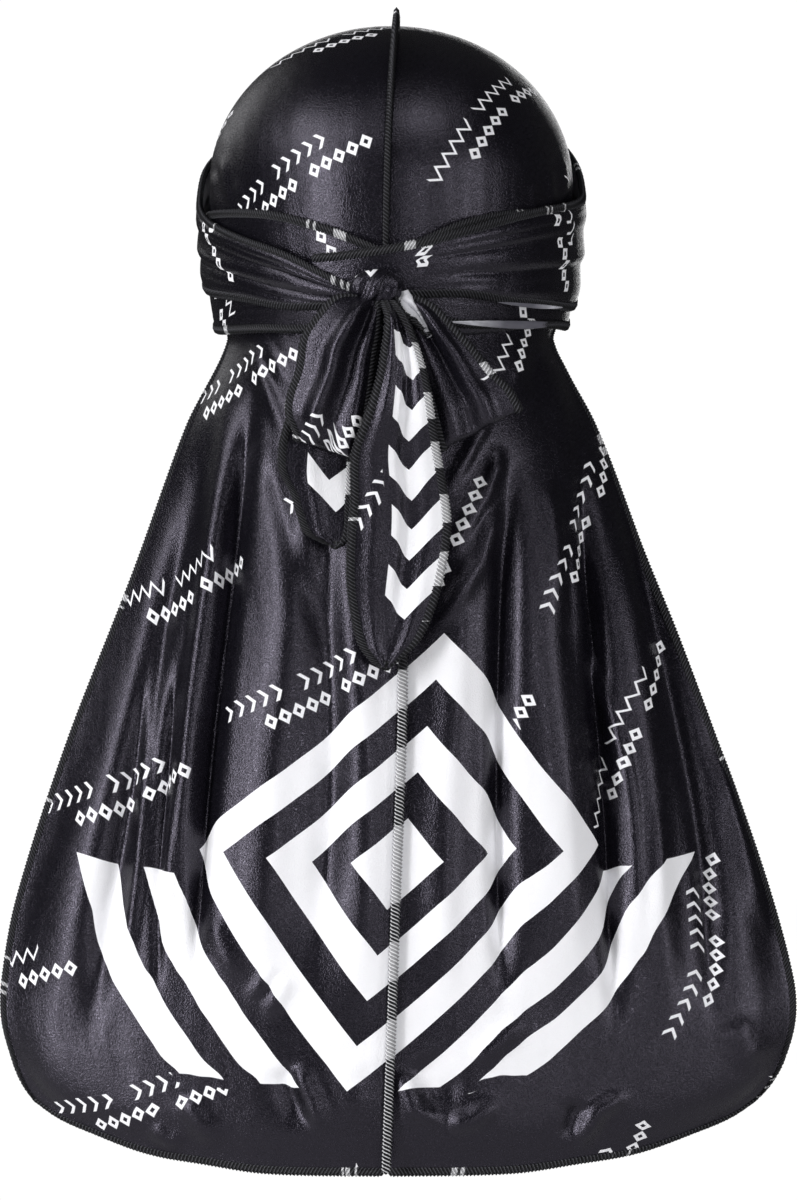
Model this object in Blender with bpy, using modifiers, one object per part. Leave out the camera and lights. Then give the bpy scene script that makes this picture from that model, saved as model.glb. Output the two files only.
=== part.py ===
"""A satin durag, tied as it is worn: two panels that run from the forehead to the hem of the cape, a raised
centre seam, two long ties wrapped round the head, and the bow that they end in behind the head.

Metres, +Z up. The wearer faces +Y, so the bow and the cape face -Y. The origin is the centre of the
head opening, at the level of the lower edge of the ties. A head fills the crown and holds it up."""

import math

import bmesh
import bpy
from mathutils import Vector

# Cloth
CLOTH = 0.0010
TIE_CLOTH = 0.0010
GAP = 0.0003
LAYER_GAP = 0.0008
SEAM_SPLIT = 0.0008

# Head form that the crown is stretched over
HEAD_HALF_WIDTH = 0.0798
HEAD_BACK = 0.0955
HEAD_FRONT = 0.0960
CROWN_HEIGHT = 0.1356
HEAD_WIDEST_AT = 0.0655
HEAD_TAPER = 0.08
EAR_LEVEL = 0.0100
FRONT_HEM_RISE = 0.0180
NAPE_DROP = 0.0160

# Cape
CAPE_LENGTH = 0.3766
CAPE_HALF_WIDTH = 0.1760

# Raised centre seam
SEAM_THICKNESS = 0.0020
SEAM_RIDGE = 0.0065
SEAM_PRESSED = 0.0016
SEAM_ON_CAPE = 0.0030
SEAM_STANDOFF = 0.0006
SEAM_CLEARED = 38

# Ties
TIE_PLEAT = 0.0011
TIE_PLEATS = 3

# Bow: the knot, and the length and width of each loop and end, measured from the foot of the knot
KNOT_WIDTH = 0.0240
KNOT_HEIGHT = 0.0170
KNOT_DEPTH = 0.0150
KNOT_BACK_SHARE = 0.34
KNOT_FOOT_SHARE = 0.28
KNOT_LEVEL = 0.0150
KNOT_ASIDE = -0.0060
BARE_BELOW_KNOT = 0.055
LEFT_LOOP_LENGTH = 0.0600
LEFT_LOOP_WIDTH = 0.0380
LEFT_LOOP_PUFF = 0.0060
LEFT_LOOP_SEAT = 0.0055
RIGHT_LOOP_LENGTH = 0.0700
RIGHT_LOOP_WIDTH = 0.0420
RIGHT_LOOP_PUFF = 0.0030
RIGHT_LOOP_SEAT = 0.0020
LOOP_OPENING = 0.0080
LEFT_END_LENGTH = 0.1060
LEFT_END_WIDTH = 0.0310
LEFT_END_FOLD = 0.0010
CENTRE_END_LENGTH = 0.1580
CENTRE_END_WIDTH = 0.0420
CENTRE_END_FOLD = 0.0040
CENTRE_END_RISE = 0.0170

# Grid sizes: columns run across the cloth and rows along it
PANEL_COLUMNS = 16
CROWN_ROWS = 17
CAPE_ROWS = 22
SIDE_EDGE_ANGLE = 82
TIE_STEP_DEGREES = 8.5
TIE_COLUMNS = 6
RIBBON_COLUMNS = 6

# Side edge of the cape, from the ear to the rounded corner. Along is the share of the edge's rows,
# left and right the distance out on each side in shares of CAPE_HALF_WIDTH, down the drop in shares
# of CAPE_LENGTH, and forward how far it lies in front of the seam, in shares of HEAD_BACK.
SIDE_EDGE = (
    # along, left, right, down, forward
    (0.00, 0.435, 0.435, 0.005, 0.86),
    (0.04, 0.403, 0.400, 0.037, 0.72),
    (0.14, 0.507, 0.508, 0.140, 0.63),
    (0.33, 0.642, 0.652, 0.319, 0.55),
    (0.53, 0.798, 0.796, 0.505, 0.49),
    (0.73, 0.926, 0.941, 0.690, 0.45),
    (0.83, 0.962, 0.995, 0.783, 0.43),
    (0.88, 0.963, 1.000, 0.829, 0.42),
    (0.94, 0.937, 0.973, 0.876, 0.41),
    (1.00, 0.884, 0.901, 0.922, 0.40),
)

# Bottom hem, from the seam to the rounded corner. Out is a share of the corner's own distance.
BOTTOM_HEM = (
    # along, out, down
    (0.00, 0.000, 1.000),
    (0.34, 0.340, 0.998),
    (0.51, 0.510, 0.989),
    (0.68, 0.680, 0.978),
    (0.84, 0.840, 0.956),
    (1.00, 1.000, 0.922),
)

# Centre line of the cape: how far behind the nape it hangs, in shares of HEAD_BACK.
CAPE_CENTRE = (
    # down, behind
    (0.00, 0.00),
    (0.15, 0.045),
    (0.40, 0.085),
    (0.70, 0.115),
    (1.00, 0.125),
)

# Folds of the cape, each a soft ridge along a line: its upper and lower end in shares of CAPE_HALF_WIDTH
# (right of the seam is positive) and of CAPE_LENGTH, its half width in shares of CAPE_HALF_WIDTH and
# its height in shares of FOLD_HEIGHT.
FOLD_HEIGHT = 0.0060
CAPE_FOLDS = (
    # x top, down top, x low, down low, half width, height
    (-0.40, 0.06, -0.49, 0.42, 0.045, 0.9),
    (-0.34, 0.06, -0.25, 0.24, 0.030, 0.6),
    (-0.33, 0.20, -0.36, 0.42, 0.080, 0.8),
    (-0.53, 0.46, -0.62, 0.74, 0.060, 0.9),
    (-0.34, 0.52, -0.46, 0.84, 0.055, 0.7),
    (-0.78, 0.66, -0.86, 0.84, 0.070, 0.6),
    (-0.31, 0.86, -0.18, 0.95, 0.050, 0.9),
    (-0.12, 0.40, -0.10, 0.62, 0.060, 0.5),
    (0.26, 0.14, 0.12, 0.26, 0.030, 0.7),
    (0.32, 0.17, 0.12, 0.42, 0.032, 0.8),
    (0.40, 0.06, 0.30, 0.40, 0.050, 0.9),
    (0.47, 0.22, 0.56, 0.50, 0.045, 0.8),
    (0.54, 0.46, 0.60, 0.78, 0.050, 0.9),
    (0.74, 0.50, 0.88, 0.80, 0.080, 0.6),
    (0.04, 0.90, 0.16, 0.95, 0.035, 0.9),
    (0.16, 0.95, 0.33, 0.86, 0.035, 0.9),
    (0.46, 0.95, 0.60, 0.88, 0.040, 0.8),
)

# Winding of a tie. Turn is the angle in degrees that it has gone round, and 0 and 360 are the back of the
# head, bottom and top are the levels of its edges in shares of CROWN_HEIGHT, and layer is how
# many ties lie under it. The left tie winds towards the right, and the right one the other way.
LEFT_TIE = (
    # turn, bottom, top, layer
    (-112, 0.12, 0.34, 0),
    (-90, 0.15, 0.38, 0),
    (-45, 0.18, 0.37, 0),
    (-22, 0.13, 0.32, 0),
    (0, 0.06, 0.23, 0),
    (22, 0.01, 0.15, 0),
    (45, 0.01, 0.16, 0),
    (66, 0.02, 0.17, 1),
    (90, 0.03, 0.18, 1),
    (128, 0.13, 0.34, 1),
    (145, 0.16, 0.38, 1),
    (180, 0.35, 0.60, 1),
    (215, 0.41, 0.67, 1),
    (224, 0.40, 0.67, 1),
    (246, 0.31, 0.60, 2),
    (258, 0.24, 0.54, 2),
    (270, 0.16, 0.43, 2),
    (310, 0.098, 0.292, 2),
    (328, 0.072, 0.235, 3),
    (347, 0.074, 0.140, 3),
    (356, 0.076, 0.120, 3),
)
RIGHT_TIE = (
    # turn, bottom, top, layer
    (-112, 0.12, 0.34, 0),
    (-90, 0.15, 0.38, 0),
    (-45, 0.18, 0.37, 0),
    (-22, 0.16, 0.33, 1),
    (0, 0.06, 0.23, 1),
    (22, 0.00, 0.15, 1),
    (45, 0.00, 0.15, 1),
    (90, 0.02, 0.17, 1),
    (126, 0.12, 0.33, 1),
    (147, 0.16, 0.38, 2),
    (180, 0.35, 0.60, 2),
    (215, 0.41, 0.67, 2),
    (246, 0.30, 0.63, 2),
    (258, 0.20, 0.56, 2),
    (270, 0.10, 0.46, 2),
    (316, 0.086, 0.369, 2),
    (337, 0.107, 0.310, 2),
    (354, 0.103, 0.264, 2),
    (374, 0.105, 0.231, 2),
    (384, 0.105, 0.225, 2),
)

# Path of the seam to either side of the middle, in shares of CAPE_HALF_WIDTH. Along counts the crown's
# rows as 0 to 1 and the cape's as 1 to 2.
SEAM_PATH = (
    # along, aside
    (0.00, 0.000),
    (0.50, 0.010),
    (0.85, -0.012),
    (1.05, -0.008),
    (1.36, 0.029),
    (1.70, 0.010),
    (2.00, -0.012),
)

# Height of the raised seam along its length, in shares of SEAM_RIDGE, SEAM_PRESSED and SEAM_ON_CAPE.
# Along counts the crown's rows as 0 to 1 and the cape's as 1 to 2.
SEAM_HEIGHT = (
    # along, ridge, pressed, on cape
    (0.00, 0.0, 1.0, 0.0),
    (0.25, 0.0, 1.0, 0.0),
    (0.33, 0.7, 0.3, 0.0),
    (0.42, 1.0, 0.0, 0.0),
    (0.64, 1.0, 0.0, 0.0),
    (0.72, 0.5, 0.5, 0.0),
    (0.78, 0.0, 1.0, 0.0),
    (1.04, 0.0, 1.0, 0.0),
    (1.16, 0.0, 0.0, 1.0),
    (2.00, 0.0, 0.0, 1.0),
)

# Middle lines of the bow's ribbons, from the foot of the knot to the tip. Aside is the distance to the
# right of the knot's middle, and down the drop below its foot, both in shares of the ribbon's length.
# Half is half its width there, in shares of the full width, and rise how far it stands off what is
# under it, in shares of its own rise.
LEFT_LOOP = (
    # along, aside, down, half, rise
    (0.00, -0.113, 0.000, 0.145, 0.10),
    (0.19, -0.207, 0.158, 0.305, 0.60),
    (0.38, -0.287, 0.337, 0.385, 1.00),
    (0.60, -0.315, 0.580, 0.410, 1.00),
    (0.78, -0.343, 0.753, 0.440, 0.80),
    (1.00, -0.393, 1.000, 0.355, 0.40),
)
RIGHT_LOOP = (
    # along, aside, down, half, rise
    (0.00, 0.114, 0.000, 0.067, 0.10),
    (0.19, 0.240, 0.154, 0.167, 0.60),
    (0.41, 0.363, 0.320, 0.286, 1.00),
    (0.66, 0.480, 0.504, 0.380, 1.00),
    (0.85, 0.571, 0.663, 0.443, 0.80),
    (1.00, 0.621, 0.786, 0.464, 0.40),
)
LEFT_END = (
    # along, aside, down, half, rise
    (0.00, -0.076, 0.000, 0.087, 0.0),
    (0.21, -0.150, 0.203, 0.200, 0.0),
    (0.42, -0.210, 0.406, 0.342, 0.0),
    (0.60, -0.247, 0.589, 0.442, 0.0),
    (0.70, -0.247, 0.698, 0.484, 0.0),
    (0.81, -0.223, 0.811, 0.400, 0.0),
    (0.91, -0.207, 0.913, 0.342, 0.0),
    (1.00, -0.175, 0.998, 0.113, 0.0),
)
CENTRE_END = (
    # along, aside, down, half, rise
    (0.00, 0.041, 0.000, 0.043, 0.48),
    (0.08, 0.047, 0.076, 0.057, 0.90),
    (0.19, 0.063, 0.188, 0.190, 1.00),
    (0.32, 0.063, 0.316, 0.340, 0.90),
    (0.43, 0.054, 0.427, 0.430, 0.60),
    (0.56, 0.060, 0.555, 0.481, 0.25),
    (0.68, 0.054, 0.675, 0.500, 0.10),
    (0.80, 0.049, 0.795, 0.460, 0.05),
    (0.90, 0.041, 0.898, 0.367, 0.05),
    (0.965, 0.030, 0.966, 0.231, 0.05),
    (1.00, 0.022, 1.000, 0.083, 0.05),
)

EAR_LINE = Vector((0.0, 0.0, EAR_LEVEL))
LAYER = TIE_CLOTH + LAYER_GAP


def smooth(share):
    """0 to 1 with no corner at either end."""
    share = min(1.0, max(0.0, share))
    return share * share * (3 - 2 * share)


def read_table(rows, at):
    """The other columns of a table where its first one is `at`, along a curve through its rows."""
    at = min(max(at, rows[0][0]), rows[-1][0])
    last = len(rows) - 1
    i = next(k for k in range(last) if at <= rows[k + 1][0])
    start, end = rows[i], rows[i + 1]
    span = end[0] - start[0]
    t = (at - start[0]) / span
    values = []
    for column in range(1, len(start)):
        slopes = []
        for k in (i, i + 1):
            low, high = rows[max(k - 1, 0)], rows[min(k + 1, last)]
            slopes.append((high[column] - low[column]) / (high[0] - low[0]) * span)
        a, b = start[column], end[column]
        values.append(
            a
            + slopes[0] * (t - 2 * t * t + t**3)
            + (b - a) * (3 * t * t - 2 * t**3)
            + slopes[1] * (t**3 - t * t)
        )
    return values


def head_share(z):
    """Share of its full plan size that the head has at height z."""
    if z > HEAD_WIDEST_AT:
        up = (z - HEAD_WIDEST_AT) / (CROWN_HEIGHT - HEAD_WIDEST_AT)
        return math.sqrt(max(0.0, 1 - up * up))
    down = (HEAD_WIDEST_AT - z) / HEAD_WIDEST_AT
    return 1 - HEAD_TAPER * down * down


def head_length(y):
    return HEAD_BACK if y < 0 else HEAD_FRONT


def head_normal(point):
    """Direction away from the head at a point on it."""
    x, y, z = point
    if z > HEAD_WIDEST_AT:
        up = (z - HEAD_WIDEST_AT) / (CROWN_HEIGHT - HEAD_WIDEST_AT)
        rise = 2 * up / (CROWN_HEIGHT - HEAD_WIDEST_AT)
    else:
        down = (HEAD_WIDEST_AT - z) / HEAD_WIDEST_AT
        rise = -4 * head_share(z) * HEAD_TAPER * down / HEAD_WIDEST_AT
    return Vector((2 * x / HEAD_HALF_WIDTH**2, 2 * y / head_length(y) ** 2, rise)).normalized()


def head_at(angle, z):
    """Point of the head at height z, at an angle in degrees from the back, positive to the right."""
    turn = math.radians(angle)
    y = -math.cos(turn)
    share = head_share(z)
    return Vector((HEAD_HALF_WIDTH * share * math.sin(turn), head_length(y) * share * y, z))


def head_along(direction):
    """Point where a line from the middle of the ear line meets the head."""
    near, far = 0.0, 2 * (HEAD_BACK + CROWN_HEIGHT)
    for _ in range(40):
        middle = (near + far) / 2
        x, y, z = EAR_LINE + direction * middle
        size = math.hypot(x / HEAD_HALF_WIDTH, y / head_length(y))
        if z < CROWN_HEIGHT and size < head_share(z):
            near = middle
        else:
            far = middle
    return EAR_LINE + direction * near


def crown_point(station, across, side, aside=0.0):
    """Point of the crown. Station is an angle in degrees about the ear line, 0 at the back and 90 at the
    top, across is the share of the way from the seam to the side edge, and aside the seam's own shift."""
    up = math.radians(station)
    out = side * math.radians(SIDE_EDGE_ANGLE * across) + aside / HEAD_BACK * (1 - across)
    return head_along(Vector((math.sin(out), -math.cos(out) * math.cos(up), math.cos(out) * math.sin(up))))


NAPE_STATION = -math.degrees(math.atan2(NAPE_DROP, HEAD_BACK))
FRONT_STATION = 180 - math.degrees(math.atan2(FRONT_HEM_RISE, HEAD_FRONT))
NAPE = crown_point(NAPE_STATION, 0, 1)


def cape_centre(down):
    """Point of the cape's middle plane, by its drop below the ears in shares of CAPE_LENGTH."""
    (behind,) = read_table(CAPE_CENTRE, down)
    return Vector((0, NAPE.y - behind * HEAD_BACK, EAR_LEVEL - down * CAPE_LENGTH))


def cape_seam(along):
    """Point of the seam line on the cape, 0 at the nape and 1 at the hem."""
    top = (EAR_LEVEL - NAPE.z) / CAPE_LENGTH
    return NAPE.lerp(cape_centre(top + (1 - top) * along), smooth(along / 0.06))


def cape_side(along, side):
    """Point of the cape's side edge, 0 at the ear and 1 at the rounded corner."""
    left, right, down, forward = read_table(SIDE_EDGE, along)
    out = left if side < 0 else right
    point = cape_centre(down) + Vector((side * out * CAPE_HALF_WIDTH, forward * HEAD_BACK, 0))
    return crown_point(NAPE_STATION, 1, side).lerp(point, smooth(along / 0.04))


def cape_hem(along, side):
    """Point of the bottom hem, 0 at the seam and 1 at the rounded corner."""
    out, down = read_table(BOTTOM_HEM, along)
    corner = cape_side(1, side)
    forward = (corner.y - cape_centre(BOTTOM_HEM[-1][2]).y) * out**2
    return cape_centre(down) + Vector((corner.x * out, forward, 0))


def fold_height(x, z):
    """How far the cape's folds stand out behind it."""
    height = 0.0
    down = (EAR_LEVEL - z) / CAPE_LENGTH
    at = Vector((x, -down * CAPE_LENGTH))
    for x_top, d_top, x_low, d_low, half, share in CAPE_FOLDS:
        top = Vector((x_top * CAPE_HALF_WIDTH, -d_top * CAPE_LENGTH))
        run = Vector((x_low * CAPE_HALF_WIDTH, -d_low * CAPE_LENGTH)) - top
        t = min(1.0, max(0.0, (at - top).dot(run) / run.length_squared))
        off = (at - top - run * t).length / (half * CAPE_HALF_WIDTH)
        height += share * FOLD_HEIGHT * math.exp(-off * off)
    return height * smooth((down - 0.05) / 0.08)


def cape_point(along, across, side, aside):
    """Point of the cape, filled in between its top, seam, side edge and hem."""
    top = crown_point(NAPE_STATION, across, side)
    hem = cape_hem(across, side)
    seam = cape_seam(along)
    edge = cape_side(along, side)
    corners = (
        cape_seam(0) * (1 - across) * (1 - along)
        + cape_side(0, side) * across * (1 - along)
        + cape_seam(1) * (1 - across) * along
        + cape_side(1, side) * across * along
    )
    point = top * (1 - along) + hem * along + seam * (1 - across) + edge * across - corners
    point.x += aside * (1 - across)
    lean = Vector((0.4 * point.x / CAPE_HALF_WIDTH, -1, 0)).normalized()
    return point + lean * fold_height(point.x, point.z)


def panel_point(along, across, side):
    """Point of a panel, 0 at the front hem, 1 at the nape and 2 at the hem of the cape. Side is -1 on the
    left, 1 on the right and 0 on the seam itself."""
    (aside,) = read_table(SEAM_PATH, along)
    aside *= CAPE_HALF_WIDTH
    if along <= 1:
        station = FRONT_STATION + (NAPE_STATION - FRONT_STATION) * along
        point = crown_point(station, across, side, aside)
    else:
        point = cape_point(along - 1, across, side or 1, aside)
    point.x += side * SEAM_SPLIT / 2 * (1 - across)
    return point


def material(name, colour, roughness):
    made = bpy.data.materials.new(name)
    made.use_nodes = True
    shader = made.node_tree.nodes["Principled BSDF"]
    shader.inputs["Base Color"].default_value = (*colour, 1)
    shader.inputs["Roughness"].default_value = roughness
    shader.inputs["Metallic"].default_value = 0
    return made


def finish_object(name, bm, finish, collection):
    mesh = bpy.data.meshes.new(name)
    bm.to_mesh(mesh)
    bm.free()
    mesh.materials.append(finish)
    mesh.shade_smooth()
    obj = bpy.data.objects.new(name, mesh)
    collection.objects.link(obj)
    return obj


def cloth_sheet(name, columns, rows, place, finish, collection, wall=CLOTH, outwards=1.0, turned=False):
    """A sheet of cloth: a flat grid whose points are put in place by a function of their shares across
    and along, and which then gets its wall."""
    bm = bmesh.new()
    bmesh.ops.create_grid(bm, x_segments=columns, y_segments=rows, size=0.5)
    for vert in bm.verts:
        vert.co = place(vert.co.x + 0.5, vert.co.y + 0.5)
    if turned:
        bmesh.ops.reverse_faces(bm, faces=bm.faces)
    obj = finish_object(name, bm, finish, collection)
    solidify = obj.modifiers.new("wall", "SOLIDIFY")
    solidify.thickness = wall
    solidify.offset = outwards
    solidify.use_even_offset = True
    return obj


def panel(name, side, finish, collection):
    """Half of the crown and half of the cape, in one piece of cloth. Its rows are closer on the crown."""
    rows = CROWN_ROWS + CAPE_ROWS

    def place(across, share):
        row = share * rows
        along = row / CROWN_ROWS if row <= CROWN_ROWS else 1 + (row - CROWN_ROWS) / CAPE_ROWS
        return panel_point(along, across, side)

    return cloth_sheet(name, PANEL_COLUMNS, rows, place, finish, collection, turned=side > 0)


def seam_outward(along):
    """Direction away from the head in the plane of the seam."""
    step = 0.01
    run = panel_point(min(2.0, along + step), 0, 0) - panel_point(max(0.0, along - step), 0, 0)
    return Vector((0, run.z, -run.y)).normalized()


def centre_seam(finish, collection):
    """The overlocked seam allowance, which stands up along the middle of the crown and of the cape."""

    def place(up, share):
        along = 2 * share
        ridge, pressed, on_cape = read_table(SEAM_HEIGHT, along)
        height = ridge * SEAM_RIDGE + pressed * SEAM_PRESSED + on_cape * SEAM_ON_CAPE
        base = panel_point(along, 0, 0)
        return base + seam_outward(along) * (CLOTH + SEAM_STANDOFF + height * up)

    rows = 2 * (CROWN_ROWS + CAPE_ROWS)
    return cloth_sheet(
        "centre_seam", 1, rows, place, finish, collection, wall=SEAM_THICKNESS, outwards=0.0
    )


def seam_lift(turn):
    """How far the ties are lifted where they cross the pressed seam, at the back and at the forehead."""
    away = abs((turn + 90) % 180 - 90)
    return (SEAM_PRESSED + SEAM_STANDOFF) * smooth(1 - away / SEAM_CLEARED)


def tie_wrap(name, rows, side, pleated, finish, collection):
    """A tie from the temple where it is sewn on to the knot, as one band wound round the head. Pleated
    gives the turns, in degrees, between which its gathers show."""
    first, last = rows[0][0], rows[-1][0]
    stations = round((last - first) / TIE_STEP_DEGREES)

    def place(across, share):
        turn = first + (last - first) * share
        bottom, top, layer = read_table(rows, turn)
        level = (bottom + (top - bottom) * across) * CROWN_HEIGHT
        point = head_at(side * turn, level)
        shown = smooth((turn - pleated[0]) / 25) * smooth((pleated[1] - turn) / 25)
        pleat = TIE_PLEAT * shown * (0.5 - 0.5 * math.cos(2 * math.pi * TIE_PLEATS * across))
        away = CLOTH + LAYER_GAP + layer * LAYER + seam_lift(turn) + pleat
        return point + head_normal(point) * away

    return cloth_sheet(
        name, TIE_COLUMNS, stations, place, finish, collection, wall=TIE_CLOTH, turned=side > 0
    )


def knot_seat():
    """Depth of the outermost tie behind the head at the knot's level."""
    point = head_at(0, KNOT_LEVEL)
    away = CLOTH + LAYER_GAP + 3 * LAYER + TIE_CLOTH + seam_lift(0)
    return (point + head_normal(point) * away).y - GAP


def knot(finish, collection):
    """The knot, a tight lump of gathered cloth, flat where it lies on the ties and at its foot, where the
    ribbons come out."""
    bm = bmesh.new()
    bmesh.ops.create_uvsphere(bm, u_segments=18, v_segments=10, radius=0.5)
    flat = KNOT_DEPTH * KNOT_BACK_SHARE
    for vert in bm.verts:
        around = math.atan2(vert.co.y, vert.co.x)
        gather = 1 + 0.06 * math.cos(6 * around) * (1 - abs(vert.co.z) * 2)
        vert.co.x *= KNOT_WIDTH * gather
        vert.co.z = max(vert.co.z, -KNOT_FOOT_SHARE) * KNOT_HEIGHT
        vert.co.y = min(vert.co.y * KNOT_DEPTH * gather, flat)
    bmesh.ops.translate(bm, verts=bm.verts, vec=(KNOT_ASIDE, knot_seat() - flat, KNOT_LEVEL))
    return finish_object("knot", bm, finish, collection)


def rest_depth(z):
    """Depth at which a ribbon of the bow lies on the cape, clear of its folds and of the centre seam."""
    down = min(1.0, max(0.0, (EAR_LEVEL - z) / CAPE_LENGTH))
    clear = max(1.4 * FOLD_HEIGHT, SEAM_ON_CAPE + 2 * SEAM_STANDOFF)
    on_cape = cape_centre(down).y - CLOTH - clear * smooth((down - 0.03) / 0.10) - GAP
    return min(on_cape, knot_seat() * smooth((z + BARE_BELOW_KNOT) / BARE_BELOW_KNOT))


def ribbon_at(rows, length, along):
    """Middle, half width, rise and sideways direction of a ribbon of the bow. It leaves the knot's foot
    level and then turns across its own run."""
    aside, down, half, rise = read_table(rows, along)
    step = 0.02
    before = read_table(rows, max(0.0, along - step))
    after = read_table(rows, min(1.0, along + step))
    run = Vector((after[0] - before[0], 0, before[1] - after[1])).normalized()
    sideways = Vector((1, 0, 0)).lerp(Vector((-run.z, 0, run.x)), smooth(along / 0.25)).normalized()
    foot = KNOT_LEVEL - KNOT_FOOT_SHARE * KNOT_HEIGHT - 2 * GAP
    middle = Vector((KNOT_ASIDE + aside * length, 0, foot - down * length))
    return middle, half, rise, sideways


def bow_loop(name, rows, length, width, seat, puff, finish, collection):
    """A loop of the bow: its outer ply runs from the knot to the tip, turns there and comes back under
    itself. Seat is how far the inner ply lies off the cape, and puff how far the outer ply bulges."""
    outer, bend, inner = 9, 4, 8
    stations = outer + bend + inner

    def place(across, share):
        station = share * stations
        if station <= outer:
            along, ply = station / outer, 1.0
        elif station >= outer + bend:
            along, ply = 1 - (station - outer - bend) / inner, 0.0
        else:
            along, ply = 1.0, 1 - (station - outer) / bend
        middle, half, rise, sideways = ribbon_at(rows, length, along)
        over = 2 * across - 1
        opening = LOOP_OPENING * (0.35 + 0.65 * rise)
        turned = math.pi * ply
        point = middle + sideways * (over * half * width)
        point += Vector((sideways.z, 0, -sideways.x)) * (opening / 2 * math.sin(turned))
        bulge = puff * rise * ply * (1 - over * over)
        point.y = rest_depth(middle.z) - seat - opening * (0.5 - 0.5 * math.cos(turned)) - bulge
        return point

    return cloth_sheet(
        name, RIBBON_COLUMNS, stations, place, finish, collection, wall=TIE_CLOTH, outwards=0.0
    )


def free_end(name, rows, length, width, lift, fold, finish, collection):
    """A free end of a tie, which hangs from the knot with one soft fold along it and a rounded tip. Lift
    is how far it stands off the cape where it lies over the loops."""
    stations = 18

    def place(across, share):
        middle, half, rise, sideways = ribbon_at(rows, length, share)
        over = 2 * across - 1
        ridge = fold * math.exp(-(((over + 0.1) / 0.5) ** 2)) * smooth(share / 0.3) * (1 - 0.7 * share)
        point = middle + sideways * (over * half * width)
        point.y = rest_depth(middle.z) - TIE_CLOTH - lift * rise - ridge
        return point

    return cloth_sheet(
        name, RIBBON_COLUMNS, stations, place, finish, collection, wall=TIE_CLOTH, outwards=0.0
    )


def build():
    for obj in list(bpy.data.objects):
        bpy.data.objects.remove(obj, do_unlink=True)
    durag = bpy.data.collections.new("durag")
    bpy.context.scene.collection.children.link(durag)
    satin = material("black_satin", (0.012, 0.011, 0.014), 0.36)
    thread = material("overlock_thread", (0.02, 0.02, 0.022), 0.7)

    panel("panel_left", -1, satin, durag)
    panel("panel_right", 1, satin, durag)
    centre_seam(thread, durag)
    tie_wrap("tie_left", LEFT_TIE, 1, (236, 360), satin, durag)
    tie_wrap("tie_right", RIGHT_TIE, -1, (150, 352), satin, durag)
    knot(satin, durag)
    left_sizes = (LEFT_LOOP_LENGTH, LEFT_LOOP_WIDTH, LEFT_LOOP_SEAT, LEFT_LOOP_PUFF)
    bow_loop("loop_left", LEFT_LOOP, *left_sizes, satin, durag)
    right_sizes = (RIGHT_LOOP_LENGTH, RIGHT_LOOP_WIDTH, RIGHT_LOOP_SEAT, RIGHT_LOOP_PUFF)
    bow_loop("loop_right", RIGHT_LOOP, *right_sizes, satin, durag)
    free_end("end_left", LEFT_END, LEFT_END_LENGTH, LEFT_END_WIDTH, 0, LEFT_END_FOLD, satin, durag)
    centre_sizes = (CENTRE_END_LENGTH, CENTRE_END_WIDTH, CENTRE_END_RISE, CENTRE_END_FOLD)
    free_end("end_centre", CENTRE_END, *centre_sizes, satin, durag)


build()
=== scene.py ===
# %% [markdown]
# # A satin durag, tied as it is worn
#
# A durag is cut from thin satin: two panels that meet in a raised seam over the middle of the head and
# run on down the back as a cape, and two long ties that are wound round the head and end in a bow.
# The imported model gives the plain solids. This script loads them, and replaces each with cloth that has
# its folds, pleats, sewn hems and print. Everything is in metres, with +Z up, and the wearer faces +Y.

import math

import bmesh
import bpy
import numpy as np
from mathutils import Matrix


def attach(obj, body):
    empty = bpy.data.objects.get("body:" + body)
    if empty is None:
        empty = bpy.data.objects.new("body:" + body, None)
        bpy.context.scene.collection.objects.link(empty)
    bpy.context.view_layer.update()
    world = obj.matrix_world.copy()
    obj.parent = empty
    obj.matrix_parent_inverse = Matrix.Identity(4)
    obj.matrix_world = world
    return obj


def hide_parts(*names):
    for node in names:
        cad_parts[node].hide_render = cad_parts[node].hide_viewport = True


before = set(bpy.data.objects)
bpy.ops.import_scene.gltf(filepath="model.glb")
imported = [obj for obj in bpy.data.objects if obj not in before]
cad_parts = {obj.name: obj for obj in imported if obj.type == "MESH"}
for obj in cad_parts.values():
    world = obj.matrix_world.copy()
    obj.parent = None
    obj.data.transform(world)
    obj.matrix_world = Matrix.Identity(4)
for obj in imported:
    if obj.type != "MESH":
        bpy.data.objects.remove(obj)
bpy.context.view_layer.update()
print("nodes:", sorted(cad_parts))

# %% [markdown]
# ## Sizes
#
# The crown is stretched over a head, so the head's own sizes come first, and then the cape's. They are
# the same as in the model's source, because each piece here has to lie where its solid lies. A table
# gives a curve by a few of its points, and its first column is the way along it.

# %% Sizes of the cloth, the head form and the cape
CLOTH = 0.0010
GAP = 0.0003
LAYER_GAP = 0.0008
LAYER = CLOTH + LAYER_GAP
SEAM_SPLIT = 0.0008

HEAD_HALF_WIDTH = 0.0798
HEAD_BACK = 0.0955
HEAD_FRONT = 0.0960
CROWN_HEIGHT = 0.1356
HEAD_WIDEST_AT = 0.0655
HEAD_TAPER = 0.08
EAR_LEVEL = 0.0100
FRONT_HEM_RISE = 0.0180
NAPE_DROP = 0.0160
SIDE_EDGE_ANGLE = 82

CAPE_LENGTH = 0.3766
CAPE_HALF_WIDTH = 0.1760

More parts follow.
